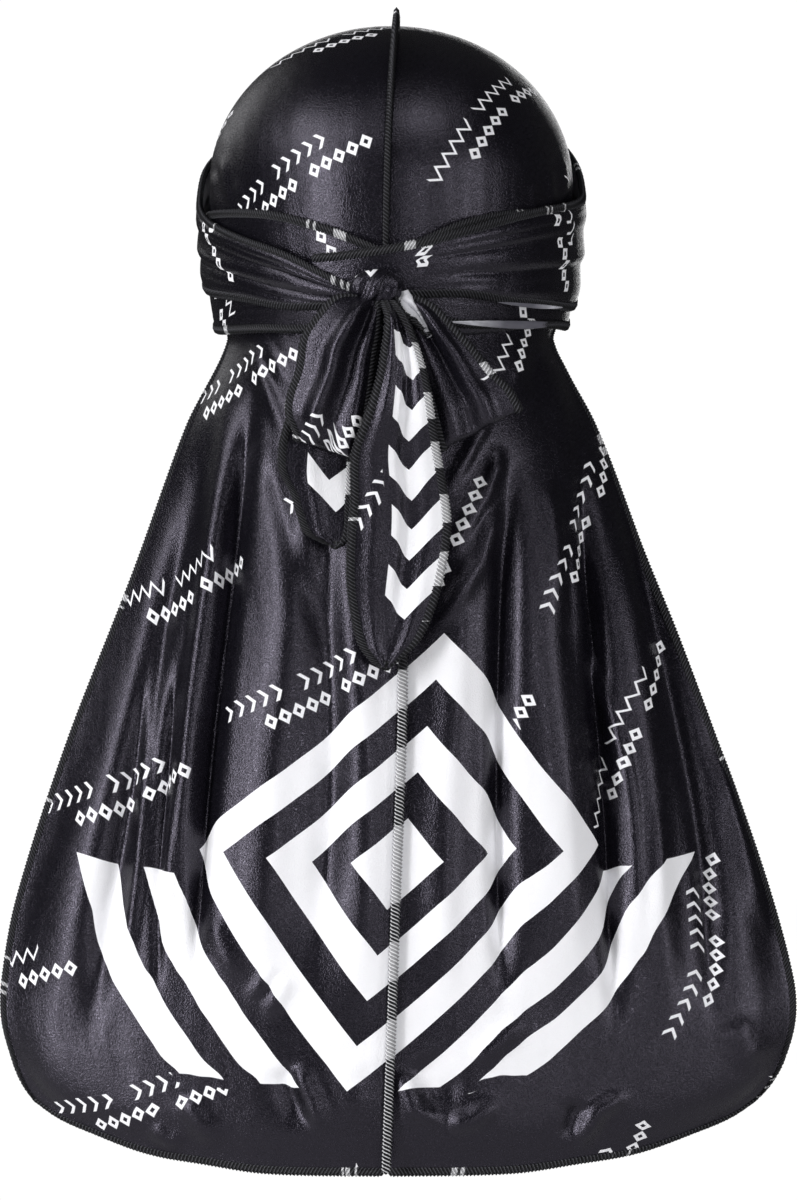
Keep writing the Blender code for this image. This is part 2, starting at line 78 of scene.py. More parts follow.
# Side edge of the cape, from the ear to the rounded corner: its distance out on each side in shares of
# CAPE_HALF_WIDTH, its drop in shares of CAPE_LENGTH, and how far it lies in front of the seam.
SIDE_EDGE = (
    # along, left, right, down, forward
    (0.00, 0.435, 0.435, 0.005, 0.86),
    (0.04, 0.403, 0.400, 0.037, 0.72),
    (0.14, 0.507, 0.508, 0.140, 0.63),
    (0.33, 0.642, 0.652, 0.319, 0.55),
    (0.53, 0.798, 0.796, 0.505, 0.49),
    (0.73, 0.926, 0.941, 0.690, 0.45),
    (0.83, 0.962, 0.995, 0.783, 0.43),
    (0.88, 0.963, 1.000, 0.829, 0.42),
    (0.94, 0.937, 0.973, 0.876, 0.41),
    (0.97, 0.914, 0.942, 0.902, 0.41),
    (1.00, 0.884, 0.901, 0.922, 0.40),
)
BOTTOM_HEM = (
    # along, out, down
    (0.00, 0.000, 1.000),
    (0.34, 0.340, 0.998),
    (0.51, 0.510, 0.989),
    (0.68, 0.680, 0.978),
    (0.84, 0.840, 0.956),
    (0.93, 0.930, 0.941),
    (1.00, 1.000, 0.922),
)
CAPE_CENTRE = (
    # down, behind
    (0.00, 0.00),
    (0.15, 0.045),
    (0.40, 0.085),
    (0.70, 0.115),
    (1.00, 0.125),
)

# Way of the seam to either side of the middle. The crown counts from 0 to 1 and the cape from 1 to 2.
SEAM_PATH = (
    # along, aside
    (0.00, 0.000),
    (0.50, 0.010),
    (0.85, -0.012),
    (1.05, -0.008),
    (1.36, 0.029),
    (1.70, 0.010),
    (2.00, -0.012),
)
print(f"the cape is {CAPE_LENGTH * 1000:.0f} mm long and {CAPE_HALF_WIDTH * 2000:.0f} mm wide")

# %% [markdown]
# ## Curves and the head form
#
# numpy works on whole rows of points at once, so a panel of forty thousand points is worked out in a
# moment. `read_table` draws a smooth curve through a table. The head is an egg shape that is only used
# to place the cloth, and it isn't built.

# %% Curves
def smooth(share):
    """0 to 1 with no corner at either end."""
    share = np.clip(share, 0.0, 1.0)
    return share * share * (3 - 2 * share)


def unit(vectors, least=0.0):
    """Vectors made 1 long. Any that is shorter than `least` is divided by that instead."""
    return vectors / np.maximum(np.linalg.norm(vectors, axis=-1, keepdims=True), least)


def read_table(rows, at):
    """The other columns of a table where its first one is `at`, along a curve through its rows."""
    table = np.array(rows, float)
    keys, values = table[:, 0], table[:, 1:]
    at = np.clip(np.asarray(at, float), keys[0], keys[-1])
    first = np.clip(np.searchsorted(keys, at) - 1, 0, len(keys) - 2)
    before = np.maximum(np.arange(len(keys)) - 1, 0)
    after = np.minimum(np.arange(len(keys)) + 1, len(keys) - 1)
    slopes = (values[after] - values[before]) / (keys[after] - keys[before])[:, None]
    span = (keys[first + 1] - keys[first])[..., None]
    t = (at - keys[first])[..., None] / span
    rise = values[first + 1] - values[first]
    leave = slopes[first] * span * (t - 2 * t * t + t**3)
    arrive = slopes[first + 1] * span * (t**3 - t * t)
    return np.moveaxis(values[first] + leave + rise * (3 * t * t - 2 * t**3) + arrive, -1, 0)


# %% The head form
HALVINGS = 40


def head_share(z):
    """Share of its full plan size that the head has at height z."""
    up = np.clip((z - HEAD_WIDEST_AT) / (CROWN_HEIGHT - HEAD_WIDEST_AT), 0, 1)
    down = np.maximum(HEAD_WIDEST_AT - z, 0) / HEAD_WIDEST_AT
    return np.sqrt(1 - up * up) - HEAD_TAPER * down * down


def head_length(y):
    return np.where(y < 0, HEAD_BACK, HEAD_FRONT)


def head_normal(points):
    """Directions away from the head at points on it."""
    x, y, z = np.moveaxis(points, -1, 0)
    up = np.maximum(z - HEAD_WIDEST_AT, 0) / (CROWN_HEIGHT - HEAD_WIDEST_AT)
    down = np.maximum(HEAD_WIDEST_AT - z, 0) / HEAD_WIDEST_AT
    rise = 2 * up / (CROWN_HEIGHT - HEAD_WIDEST_AT)
    rise = rise - 4 * head_share(z) * HEAD_TAPER * down / HEAD_WIDEST_AT
    return unit(np.stack((2 * x / HEAD_HALF_WIDTH**2, 2 * y / head_length(y) ** 2, rise), -1))


def head_at(angle, z):
    """Points of the head at heights z, at angles in degrees from the back, positive to the right."""
    turn = np.radians(angle)
    share = head_share(z)
    back = -np.cos(turn)
    return np.stack((HEAD_HALF_WIDTH * share * np.sin(turn), head_length(back) * share * back, z), -1)


def head_along(directions):
    """Points where lines from the middle of the ear line meet the head."""
    near = np.zeros(directions.shape[:-1])
    far = near + 2 * (HEAD_BACK + CROWN_HEIGHT)
    for _ in range(HALVINGS):
        middle = (near + far) / 2
        x, y, z = np.moveaxis(directions * middle[..., None], -1, 0)
        z = z + EAR_LEVEL
        size = np.hypot(x / HEAD_HALF_WIDTH, y / head_length(y))
        within = (z < CROWN_HEIGHT) & (size < head_share(z))
        near = np.where(within, middle, near)
        far = np.where(within, far, middle)
    return directions * near[..., None] + np.array((0, 0, EAR_LEVEL))


print("top of the head form:", head_along(np.array([[0.0, 0.0, 1.0]])).round(4).tolist())

# %% [markdown]
# ## The surface of a panel
#
# Each panel is one piece of cloth, from the hem at the forehead over the crown to the bottom of the
# cape. A panel is a grid of points: its columns run from the seam out to the side edge, and its rows
# from the forehead down to the hem. On the crown a point is found by a line out from the middle of the
# head. On the cape, four border curves are blended into one smooth sheet.

# %% Surface of a panel
NAPE_STATION = -math.degrees(math.atan2(NAPE_DROP, HEAD_BACK))
FRONT_STATION = 180 - math.degrees(math.atan2(FRONT_HEM_RISE, HEAD_FRONT))
NAPE_BLEND = 0.06
EAR_BLEND = 0.04


def crown(stations, across, side, aside):
    """Points of the crown. Stations are angles about the ear line, 0 at the back and 90 at the top."""
    up = np.radians(stations)[:, None]
    out = side * np.radians(SIDE_EDGE_ANGLE * across) + (aside / HEAD_BACK)[:, None] * (1 - across)
    x = np.sin(out) + 0 * up
    return head_along(np.stack((x, -np.cos(out) * np.cos(up), np.cos(out) * np.sin(up)), -1))


NAPE = crown(np.array([NAPE_STATION]), np.zeros(1), 1, np.zeros(1))[0, 0]


def cape_centre(down):
    """Points of the cape's middle plane, by their drop below the ears in shares of CAPE_LENGTH."""
    (behind,) = read_table(CAPE_CENTRE, down)
    return np.stack((0 * behind, NAPE[1] - behind * HEAD_BACK, EAR_LEVEL - down * CAPE_LENGTH), -1)


def cape_seam(along):
    """Points of the seam on the cape, 0 at the nape and 1 at the hem."""
    top = (EAR_LEVEL - NAPE[2]) / CAPE_LENGTH
    return NAPE + (cape_centre(top + (1 - top) * along) - NAPE) * smooth(along / NAPE_BLEND)[:, None]


def cape_side(along, side):
    """Points of the cape's side edge, 0 at the ear and 1 at the rounded corner."""
    left, right, down, forward = read_table(SIDE_EDGE, along)
    out = side * (left if side < 0 else right) * CAPE_HALF_WIDTH
    edge = cape_centre(down) + np.stack((out, forward * HEAD_BACK, 0 * out), -1)
    ear = crown(np.array([NAPE_STATION]), np.ones(1), side, np.zeros(1))[0, 0]
    return ear + (edge - ear) * smooth(along / EAR_BLEND)[:, None]


def cape_hem(along, side):
    """Points of the bottom hem, 0 at the seam and 1 at the rounded corner."""
    out, down = read_table(BOTTOM_HEM, along)
    corner = cape_side(np.ones(1), side)[0]
    ahead = corner[1] - cape_centre(np.array([BOTTOM_HEM[-1][2]]))[0, 1]
    return cape_centre(down) + np.stack((corner[0] * out, ahead * out * out, 0 * out), -1)


def cape(along, across, side, aside):
    """Points of the cape, blended from its top, seam, side edge and hem."""
    a, c = along[:, None, None], across[None, :, None]
    top = crown(np.array([NAPE_STATION]), across, side, np.zeros(1))
    hem = cape_hem(across, side)[None]
    seam = cape_seam(along)[:, None]
    edge = cape_side(along, side)[:, None]
    corners = seam[:1] * (1 - c) * (1 - a) + edge[:1] * c * (1 - a)
    corners = corners + seam[-1:] * (1 - c) * a + edge[-1:] * c * a
    points = top * (1 - a) + hem * a + seam * (1 - c) + edge * c - corners
    points[..., 0] += aside[:, None] * (1 - across)
    return points


def panel_surface(along, across, side):
    """Smooth points of a panel. Along is 0 at the forehead, 1 at the nape and 2 at the cape's hem."""
    (aside,) = read_table(SEAM_PATH, along)
    aside = aside * CAPE_HALF_WIDTH
    on_crown = along <= 1
    stations = FRONT_STATION + (NAPE_STATION - FRONT_STATION) * along[on_crown]
    upper = crown(stations, across, side, aside[on_crown])
    lower = cape(along[~on_crown] - 1, across, side or 1, aside[~on_crown])
    points = np.concatenate((upper, lower))
    points[..., 0] += side * SEAM_SPLIT / 2 * (1 - across)
    return points


print("nape of the panel:", NAPE.round(4).tolist())

# %% [markdown]
# ## Folds
#
# The satin hangs from the tight band in long drapes that spread as they fall, and it has sharp little
# wrinkles where something pulls on it. A simulation would invent its own, so each one that matters is one
# row of a table instead. A drape is a curve down the cape, and the cloth is pushed out by a soft ridge
# along it, or in where its height is negative. A steep side leans the ridge over.

# %% Drapes
FOLD_HEIGHT = 0.0060
DRAPE_FADES_IN = 0.30
DRAPE_FADES_OUT = 0.25
STEEPNESS = 0.5
SLOPE_STEP = 0.01
DRAPES = (
    # x and down at four points, half width, height, steep
    (-0.380, 0.049, -0.434, 0.250, -0.503, 0.503, -0.586, 0.801, 0.027, 0.95, 0.3),
    (-0.331, 0.058, -0.380, 0.273, -0.444, 0.526, -0.493, 0.812, 0.025, -1.38, 0.0),
    (-0.233, 0.107, -0.243, 0.296, -0.297, 0.526, -0.336, 0.835, 0.083, 0.95, -0.5),
    (-0.208, 0.055, -0.149, 0.296, -0.149, 0.571, -0.194, 0.812, 0.040, -0.72, 0.0),
    (-0.174, 0.158, -0.113, 0.342, -0.061, 0.571, -0.086, 0.870, 0.049, 0.60, 0.0),
    (-0.434, 0.113, -0.567, 0.388, -0.670, 0.629, -0.753, 0.870, 0.032, -0.94, 0.0),
    (-0.478, 0.170, -0.635, 0.457, -0.773, 0.686, -0.807, 0.858, 0.083, 0.80, -0.2),
    (-0.567, 0.342, -0.601, 0.480, -0.621, 0.640, -0.660, 0.801, 0.015, 0.40, 0.0),
    (-0.523, 0.388, -0.547, 0.526, -0.567, 0.663, -0.577, 0.812, 0.015, -0.65, 0.0),
    (-0.469, 0.388, -0.493, 0.526, -0.508, 0.663, -0.493, 0.801, 0.015, 0.40, 0.0),
    (0.194, 0.147, 0.170, 0.388, 0.135, 0.594, 0.125, 0.847, 0.044, 0.55, -0.2),
    (0.302, 0.140, 0.273, 0.342, 0.263, 0.594, 0.278, 0.835, 0.029, -1.45, 0.2),
    (0.386, 0.136, 0.378, 0.342, 0.420, 0.571, 0.445, 0.824, 0.079, 1.10, -0.6),
    (0.459, 0.136, 0.499, 0.388, 0.538, 0.617, 0.553, 0.858, 0.025, -1.59, 0.0),
    (0.503, 0.147, 0.587, 0.388, 0.646, 0.617, 0.680, 0.858, 0.054, 0.90, -0.3),
    (0.533, 0.158, 0.675, 0.411, 0.773, 0.640, 0.803, 0.858, 0.027, -1.01, 0.0),
    (0.577, 0.193, 0.769, 0.480, 0.862, 0.663, 0.881, 0.824, 0.069, 0.90, -0.3),
    (0.430, 0.227, 0.489, 0.388, 0.582, 0.548, 0.611, 0.755, 0.015, 0.40, 0.0),
)


def drape_height(x, down):
    """How far the drapes push out each point, given by shares of the cape's half width and length."""
    height = np.zeros(x.shape)
    for *places, half, share, steep in DRAPES:
        curve = [(places[k + 1], places[k]) for k in (0, 2, 4, 6)]
        first, last = curve[0][0], curve[-1][0]
        (middle,) = read_table(curve, down)
        (ahead,) = read_table(curve, down + SLOPE_STEP)
        lean = (ahead - middle) * CAPE_HALF_WIDTH / (SLOPE_STEP * CAPE_LENGTH)
        off = (x - middle) / np.hypot(1, lean)
        width = half * (1 + STEEPNESS * steep * np.sign(off))
        fade = smooth((down - first) / (DRAPE_FADES_IN * (last - first)))
        fade = fade * smooth((last - down) / (DRAPE_FADES_OUT * (last - first)))
        height += share * fade * np.exp(-((off / width) ** 2))
    return height


print(len(DRAPES), "drapes")

# %% [markdown]
# The short wrinkles can lie any way, so each is a bent line of three points in place of a curve. Those
# with a negative drop are on the crown.

# %% Wrinkles
WRINKLES = (
    # x top, down top, x middle, down middle, x low, down low, half width, height, steep
    (-0.351, 0.033, -0.316, 0.087, -0.253, 0.158, 0.016, 0.42, 0.3),
    (-0.314, 0.041, -0.284, 0.064, -0.250, 0.094, 0.014, 0.33, 0.3),
    (-0.302, 0.158, -0.248, 0.262, -0.157, 0.434, 0.033, -0.42, 0.0),
    (-0.439, 0.703, -0.410, 0.741, -0.365, 0.784, 0.026, 0.33, 0.0),
    (-0.248, 0.772, -0.275, 0.797, -0.309, 0.821, 0.020, 0.35, 0.0),
    (-0.287, 0.758, -0.316, 0.781, -0.346, 0.803, 0.016, 0.26, 0.0),
    (-0.238, 0.870, -0.201, 0.913, -0.159, 0.961, 0.024, 0.65, -0.5),
    (-0.272, 0.872, -0.248, 0.910, -0.203, 0.952, 0.036, -0.50, 0.0),
    (-0.508, 0.910, -0.469, 0.944, -0.410, 0.968, 0.027, 0.40, 0.0),
    (-0.596, 0.948, -0.547, 0.965, -0.493, 0.959, 0.020, 0.35, 0.0),
    (-0.113, 0.858, -0.095, 0.904, -0.071, 0.950, 0.048, 0.35, 0.0),
    (0.248, 0.122, 0.194, 0.170, 0.133, 0.224, 0.014, 0.45, 0.0),
    (0.275, 0.164, 0.238, 0.216, 0.130, 0.301, 0.016, 0.49, 0.0),
    (0.268, 0.227, 0.219, 0.298, 0.064, 0.407, 0.022, 0.49, 0.0),
    (0.388, 0.202, 0.405, 0.273, 0.420, 0.394, 0.022, 0.33, 0.0),
    (0.440, 0.264, 0.454, 0.331, 0.474, 0.451, 0.019, 0.33, 0.0),
    (0.319, 0.036, 0.314, 0.067, 0.307, 0.099, 0.022, 0.33, 0.0),
    (0.361, 0.053, 0.349, 0.080, 0.334, 0.106, 0.022, -0.33, 0.0),
    (0.405, 0.049, 0.415, 0.101, 0.435, 0.149, 0.029, 0.42, 0.3),
    (0.648, 0.571, 0.656, 0.663, 0.651, 0.743, 0.016, 0.21, 0.0),
    (0.788, 0.508, 0.867, 0.629, 0.938, 0.749, 0.019, 0.42, 0.6),
    (0.027, 0.877, 0.059, 0.925, 0.135, 0.945, 0.024, 0.65, 0.0),
    (0.135, 0.945, 0.202, 0.937, 0.268, 0.911, 0.024, 0.58, 0.0),
    (0.057, 0.864, 0.116, 0.902, 0.199, 0.904, 0.053, -0.58, 0.0),
    (0.202, 0.874, 0.268, 0.847, 0.339, 0.813, 0.024, 0.50, 0.0),
    (0.462, 0.916, 0.447, 0.943, 0.430, 0.968, 0.027, -0.50, 0.0),
    (0.452, 0.973, 0.508, 0.930, 0.592, 0.905, 0.020, 0.58, 0.0),
    (0.845, 0.824, 0.881, 0.858, 0.911, 0.887, 0.041, 0.32, 0.0),
    (-0.417, -0.179, -0.405, -0.140, -0.375, -0.097, 0.010, 0.22, 0.0),
    (-0.444, -0.163, -0.432, -0.131, -0.405, -0.101, 0.010, 0.20, 0.0),
    (-0.380, -0.149, -0.363, -0.119, -0.341, -0.089, 0.010, 0.16, 0.0),
    (0.386, -0.163, 0.393, -0.134, 0.398, -0.108, 0.010, 0.22, 0.0),
    (0.422, -0.179, 0.430, -0.149, 0.430, -0.121, 0.010, 0.20, 0.0),
    (0.346, -0.144, 0.351, -0.121, 0.351, -0.103, 0.010, 0.14, 0.0),
)
WRINKLE_FADES_IN = 0.25
WRINKLE_FADES_OUT = 0.4
EDGE_ROLL = 0.0050
EDGE_ROLL_WIDTH = 0.0125
EDGE_ROLL_FROM = 1.45
EDGE_ROLL_BLEND = 0.3


def wrinkle_part(start, end, spot, first, last, half, steep):
    """Strength of a ridge along one straight piece of a wrinkle, from share first to share last of it."""
    run = end - start
    t = np.clip(((spot - start) @ run) / (run @ run), 0, 1)
    off = spot - start - run * t[..., None]
    side = np.sign(run[0] * off[..., 1] - run[1] * off[..., 0])
    width = half * (1 - STEEPNESS * steep * side)
    ridge = np.exp(-((np.linalg.norm(off, axis=-1) / width) ** 2))
    share = first + (last - first) * t
    return ridge * smooth(share / WRINKLE_FADES_IN) * smooth((1 - share) / WRINKLE_FADES_OUT)


def wrinkle_height(x, down):
    """How far the wrinkles push out each point."""
    stretch = CAPE_LENGTH / CAPE_HALF_WIDTH
    spot = np.stack((x, -down * stretch), -1)
    height = np.zeros(x.shape)
    for *places, half, share, steep in WRINKLES:
        top, middle, low = (np.array((places[k], -places[k + 1] * stretch)) for k in (0, 2, 4))
        upper = wrinkle_part(top, middle, spot, 0, 0.5, half, steep)
        lower = wrinkle_part(middle, low, spot, 0.5, 1, half, steep)
        height += share * np.maximum(upper, lower)
    return height


def fold_height(points):
    """How far all the folds push each point of the cloth out."""
    x = points[..., 0] / CAPE_HALF_WIDTH
    down = (EAR_LEVEL - points[..., 2]) / CAPE_LENGTH
    height = (drape_height(x, down) + wrinkle_height(x, down)) * FOLD_HEIGHT
    return height * np.where(points[..., 1] < 0, 1, 0)


def edge_roll(points, along):
    """How far the cape's lower edges curl forwards, towards the wearer."""
    beside = np.abs(points[..., 0] - points[:, -1:, 0])
    below = points[..., 2] - points[-1:, :, 2]
    low = smooth((along[:, None] - EDGE_ROLL_FROM) / EDGE_ROLL_BLEND)
    roll = np.exp(-((beside / EDGE_ROLL_WIDTH) ** 2)) * low + np.exp(-((below / EDGE_ROLL_WIDTH) ** 2))
    return EDGE_ROLL * np.minimum(roll, 1)


print(len(WRINKLES), "wrinkles")

# %% [markdown]
# ## Cloth from a grid
#
# Every piece of cloth here starts as Blender's flat grid, whose points are then put in place, and
# Solidify gives it a wall. Its inner side takes the second material, the pale reverse of printed satin.
# Two UV maps hold sizes in metres on the flat cloth: `cloth` runs along the weave, and `print` is turned
# by the angle at which the print was laid on that piece, so the print bends with the folds.

# %% Cloth from a grid
def flat_lengths(grid):
    """Distances over the cloth from the first column and from the first row."""
    across = np.linalg.norm(np.diff(grid, axis=1), axis=-1)
    along = np.linalg.norm(np.diff(grid, axis=0), axis=-1)
    across = np.concatenate((np.zeros((len(grid), 1)), np.cumsum(across, axis=1)), axis=1)
    along = np.concatenate((np.zeros((1, grid.shape[1])), np.cumsum(along, axis=0)))
    return across, along


def cloth_area(grid):
    across, along = np.diff(grid, axis=1)[:-1], np.diff(grid, axis=0)[:, :-1]
    return float(np.linalg.norm(np.cross(across, along), axis=-1).sum())


def flat_maps(x, y, angle, shift=(0.0, 0.0)):
    """The two UV maps of a piece from its flat coordinates."""
    turn = math.radians(angle)
    along = x * math.cos(turn) + y * math.sin(turn) + shift[0]
    over = y * math.cos(turn) - x * math.sin(turn) + shift[1]
    return {"cloth": np.stack((x, y), -1), "print": np.stack((along, over), -1)}


def shape_grid(grid, maps):
    """Blender's flat grid with its points moved to the given places."""
    rows, columns = len(grid) - 1, grid.shape[1] - 1
    bm = bmesh.new()
    bmesh.ops.create_grid(bm, x_segments=columns, y_segments=rows, size=0.5)
    spots = [(round((v.co.y + 0.5) * rows), round((v.co.x + 0.5) * columns)) for v in bm.verts]
    places = grid.tolist()
    for vert, (row, column) in zip(bm.verts, spots):
        vert.co = places[row][column]
    bm.verts.index_update()
    for name, values in maps.items():
        layer = bm.loops.layers.uv.new(name)
        flat = values.tolist()
        for face in bm.faces:
            for loop in face.loops:
                row, column = spots[loop.vert.index]
                loop[layer].uv = flat[row][column]
    return bm


def finish_piece(name, bm, finishes):
    mesh = bpy.data.meshes.new(name)
    bm.to_mesh(mesh)
    bm.free()
    for finish in finishes:
        mesh.materials.append(finish)
    mesh.shade_smooth()
    piece = bpy.data.objects.new(name, mesh)
    bpy.context.scene.collection.objects.link(piece)
    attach(piece, "root")
    return piece


def cloth(name, grid, maps, finishes, turned=False, outwards=1.0):
    """A sheet of cloth whose printed side faces outwards."""
    bm = shape_grid(grid, maps)
    if turned:
        bmesh.ops.reverse_faces(bm, faces=bm.faces)
    piece = finish_piece(name, bm, finishes)
    wall = piece.modifiers.new("wall", "SOLIDIFY")
    wall.thickness = CLOTH
    wall.offset = outwards
    wall.material_offset = 1
    wall.material_offset_rim = 0
    print(f"{name}: {len(piece.data.polygons)} faces, {cloth_area(grid) * 1e4:.0f} square cm of cloth")
    return piece


# %% [markdown]
# ## Sewn edges
#
# Every edge of the real thing is overlocked: thread is looped round the raw edge so closely that it
# looks like a thin black rope. A bevelled curve would be perfectly round, so the rope is a grid that is
# rolled into a flat tube. Its thickness swells and shrinks along a spiral, one swell for each stitch.

# %% Sewn edges
STITCH = 0.0016
ROPE_STEP = 0.0006
ROPE_SIDES = 8
ROPE_SWELL = 0.20
ROPE_TAPER = 0.0020
SAME_PLACE = 1e-6
HEM_HALF_WIDTH = 0.0021
HEM_HALF_DEPTH = 0.0013
HEM_INSET = 0.0008


def cloth_normals(grid, turned):
    across, along = np.gradient(grid, axis=1), np.gradient(grid, axis=0)
    return unit(np.cross(across, along), least=1e-12) * (-1 if turned else 1)


def rope(name, line, sideways, outward, maps, half_side, half_out, finish):
    """A rope of stitches along a line of points."""
    run = np.concatenate(([0.0], np.cumsum(np.linalg.norm(np.diff(line, axis=0), axis=-1))))
    at = np.linspace(0, run[-1], round(run[-1] / ROPE_STEP) + 1)

    def along_rope(values):
        return np.stack([np.interp(at, run, values[:, k]) for k in range(values.shape[1])], -1)[:, None]

    turn = np.linspace(0, 2 * math.pi, ROPE_SIDES + 1)[None, :, None]
    swell = 1 + ROPE_SWELL * np.sin(2 * math.pi * at[:, None, None] / STITCH + turn)
    taper = np.sqrt(np.clip(np.minimum(at, run[-1] - at) / ROPE_TAPER, 0, 1))[:, None, None]
    wide = along_rope(sideways) * half_side * np.cos(turn)
    deep = along_rope(outward) * half_out * np.sin(turn)
    grid = along_rope(line) + (wide + deep) * swell * taper
    flats = {key: np.repeat(along_rope(values), ROPE_SIDES + 1, axis=1) for key, values in maps.items()}
    thread = np.broadcast_arrays(at[:, None], turn[..., 0] * half_side)
    flats["thread"] = np.stack(thread, -1)
    bm = shape_grid(grid, flats)
    bmesh.ops.remove_doubles(bm, verts=bm.verts, dist=SAME_PLACE)
    bmesh.ops.recalc_face_normals(bm, faces=bm.faces)
    piece = finish_piece(name, bm, [finish])
    print(f"{name}: {run[-1] * 1000:.0f} mm of stitches, {len(piece.data.polygons)} faces")
    return piece


def hem(name, grid, maps, path, finish, turned=False, outwards=1.0):
    """The overlocked edge of a sheet. The path picks the edge's points, and the next ones inside it."""
    normals = cloth_normals(grid, turned)
    edge, inner = path(grid)
    outward = path(normals)[0]
    inward = inner - edge
    inward = unit(inward - outward * (inward * outward).sum(-1, keepdims=True), least=1e-9)
    line = edge + outward * CLOTH * outwards / 2 + inward * HEM_INSET
    flats = {key: path(values)[0] for key, values in maps.items()}
    return rope(name, line, inward, outward, flats, HEM_HALF_WIDTH, HEM_HALF_DEPTH, finish)


def round_the_panel(values):
    """Front hem, side edge and bottom hem of a panel."""
    edge = np.concatenate((values[0, :-1], values[:-1, -1], values[-1, ::-1]))
    inner = np.concatenate((values[1, :-1], values[:-1, -2], values[-2, ::-1]))
    return edge, inner


def first_column(values):
    return values[:, 0], values[:, 1]


def last_column(values):
    return values[:, -1], values[:, -2]


def round_the_tip(values):
    """Down one long edge, round the tip and up the other."""
    edge = np.concatenate((values[:-1, 0], values[-1], values[-2::-1, -1]))
    inner = np.concatenate((values[:-1, 1], values[-2], values[-2::-1, -2]))
    return edge, inner


print(f"a stitch every {STITCH * 1000} mm, a rope {HEM_HALF_WIDTH * 2000} mm wide")

# %% [markdown]
# ## Shader maths
#
# A print is drawn with numbers: how far a spot is from a line, and whether that is less than half the
# line's width. `Value` wraps one output of a node, so that such a formula is written as a Python
# expression. `of` adds any other node, and `feed` links the result to the shader.

# %% Values in a node tree
class Value:
    """One output in a node tree, which expressions can work on."""

    def __init__(self, tree, socket):
        self.tree = tree
        self.socket = socket

    def of(self, kind, settings, sockets, output=0):
        """A new node: its settings first, and then the values or links of its sockets."""
        node = self.tree.nodes.new(kind)
        for name, setting in settings.items():
            setattr(node, name, setting)
        for name, given in sockets.items():
            if isinstance(given, Value):
                self.tree.links.new(given.socket, node.inputs[name])
            else:
                node.inputs[name].default_value = given
        return Value(self.tree, node.outputs[output])

    def feed(self, shader, name):
        self.tree.links.new(self.socket, shader.inputs[name])

    def maths(self, operation, *others):
        return self.of("ShaderNodeMath", {"operation": operation}, dict(enumerate((self, *others))))

    def __add__(self, other):
        return self.maths("ADD", other)

    __radd__ = __add__

    def __mul__(self, other):
        return self.maths("MULTIPLY", other)

    __rmul__ = __mul__

    def __sub__(self, other):
        return self.maths("SUBTRACT", other)

    def __rsub__(self, other):
        return self.of("ShaderNodeMath", {"operation": "SUBTRACT"}, {0: other, 1: self})

    def __truediv__(self, other):
        return self.maths("DIVIDE", other)

    def __abs__(self):
        return self.maths("ABSOLUTE")

    def __floor__(self):
        return self.maths("FLOOR")


def new_finish(name):
    """A new material, its shader, and a value to start expressions from."""
    finish = bpy.data.materials.new(name)
    finish.use_nodes = True
    shader = finish.node_tree.nodes["Principled BSDF"]
    return finish, shader, Value(finish.node_tree, shader.outputs[0])


# %% Nodes that every finish needs
def solid_place(start):
    """Object coordinates, in metres."""
    return start.of("ShaderNodeTexCoord", {}, {}, output=3)


def flat_place(start, name):
    """The two coordinates of a UV map, in metres on the flat cloth."""
    spot = start.of("ShaderNodeUVMap", {"uv_map": name}, {})
    parts = start.of("ShaderNodeSeparateXYZ", {}, {0: spot})
    return parts, Value(start.tree, parts.socket.node.outputs[1])


def joined(x, y):
    """Two coordinates as one vector."""
    return x.of("ShaderNodeCombineXYZ", {}, {0: x, 1: y})


def ranged(value, low, high, first=0.0, last=1.0):
    """A value between low and high, brought to lie between first and last, and held there."""
    return value.of("ShaderNodeMapRange", {}, {0: value, 1: low, 2: high, 3: first, 4: last})


def noise(spot, scale, detail):
    return spot.of("ShaderNodeTexNoise", {}, {"Vector": spot, "Scale": scale, "Detail": detail})


def bump(height, distance, under=None):
    """Directions of a surface bent by a height, on top of another bump if one is given."""
    sockets = {"Height": height, "Distance": distance, "Strength": 1.0}
    if under:
        sockets["Normal"] = under
    return height.of("ShaderNodeBump", {}, sockets)


def mixed(share, colour, other):
    sockets = {0: share, 6: colour, 7: other}
    return share.of("ShaderNodeMix", {"data_type": "RGBA"}, sockets, output=2)


# %% [markdown]
# ## The print
#
# The satin is printed all over with short double strips of small white marks: chevrons, zigzags and
# lozenges. An image would need pixels enough for every edge, so each mark is a formula in place of it.
# The print follows the flat cloth, so a fold bends it.

# %% The small marks
INK_EDGE = 0.00012
MARK = 0.0066
MARKS_IN_A_GROUP = 5
MARK_HALF_HEIGHT = 0.0036
MARK_HALF_STROKE = 0.0009
CHEVRON_SLOPE = 0.8
CHEVRON_FORWARD = 0.0013
ZIGZAG_REACH = 0.0026
LOZENGE_SLIMNESS = 0.85
LOZENGE_OUTSIDE = 0.0031
LOZENGE_INSIDE = 0.0012
STRIP_CELL = 0.124
STRIP_ROW = 0.068
STRIP_SHIFT = 0.051
STRIP_LENGTH = 0.0726
UPPER_LINE = (0.004, 0.034)
LOWER_LINE = (0.022, 0.0235)


def inside(value, limit):
    """1 where a value is under a limit and 0 above it, with a soft edge."""
    return ranged(value, limit - INK_EDGE, limit + INK_EDGE, 1.0, 0.0)


def chevron(t, level):
    stroke = abs(t + abs(level) * CHEVRON_SLOPE - CHEVRON_FORWARD)
    return inside(stroke, MARK_HALF_STROKE) * inside(abs(level), MARK_HALF_HEIGHT)


def zigzag(t, level):
    wave = abs(t) * (4 * ZIGZAG_REACH / MARK) - ZIGZAG_REACH
    return inside(abs(level - wave), MARK_HALF_STROKE)


def lozenge(t, level):
    size = abs(t) + abs(level) * LOZENGE_SLIMNESS
    return inside(size, LOZENGE_OUTSIDE) - inside(size, LOZENGE_INSIDE)


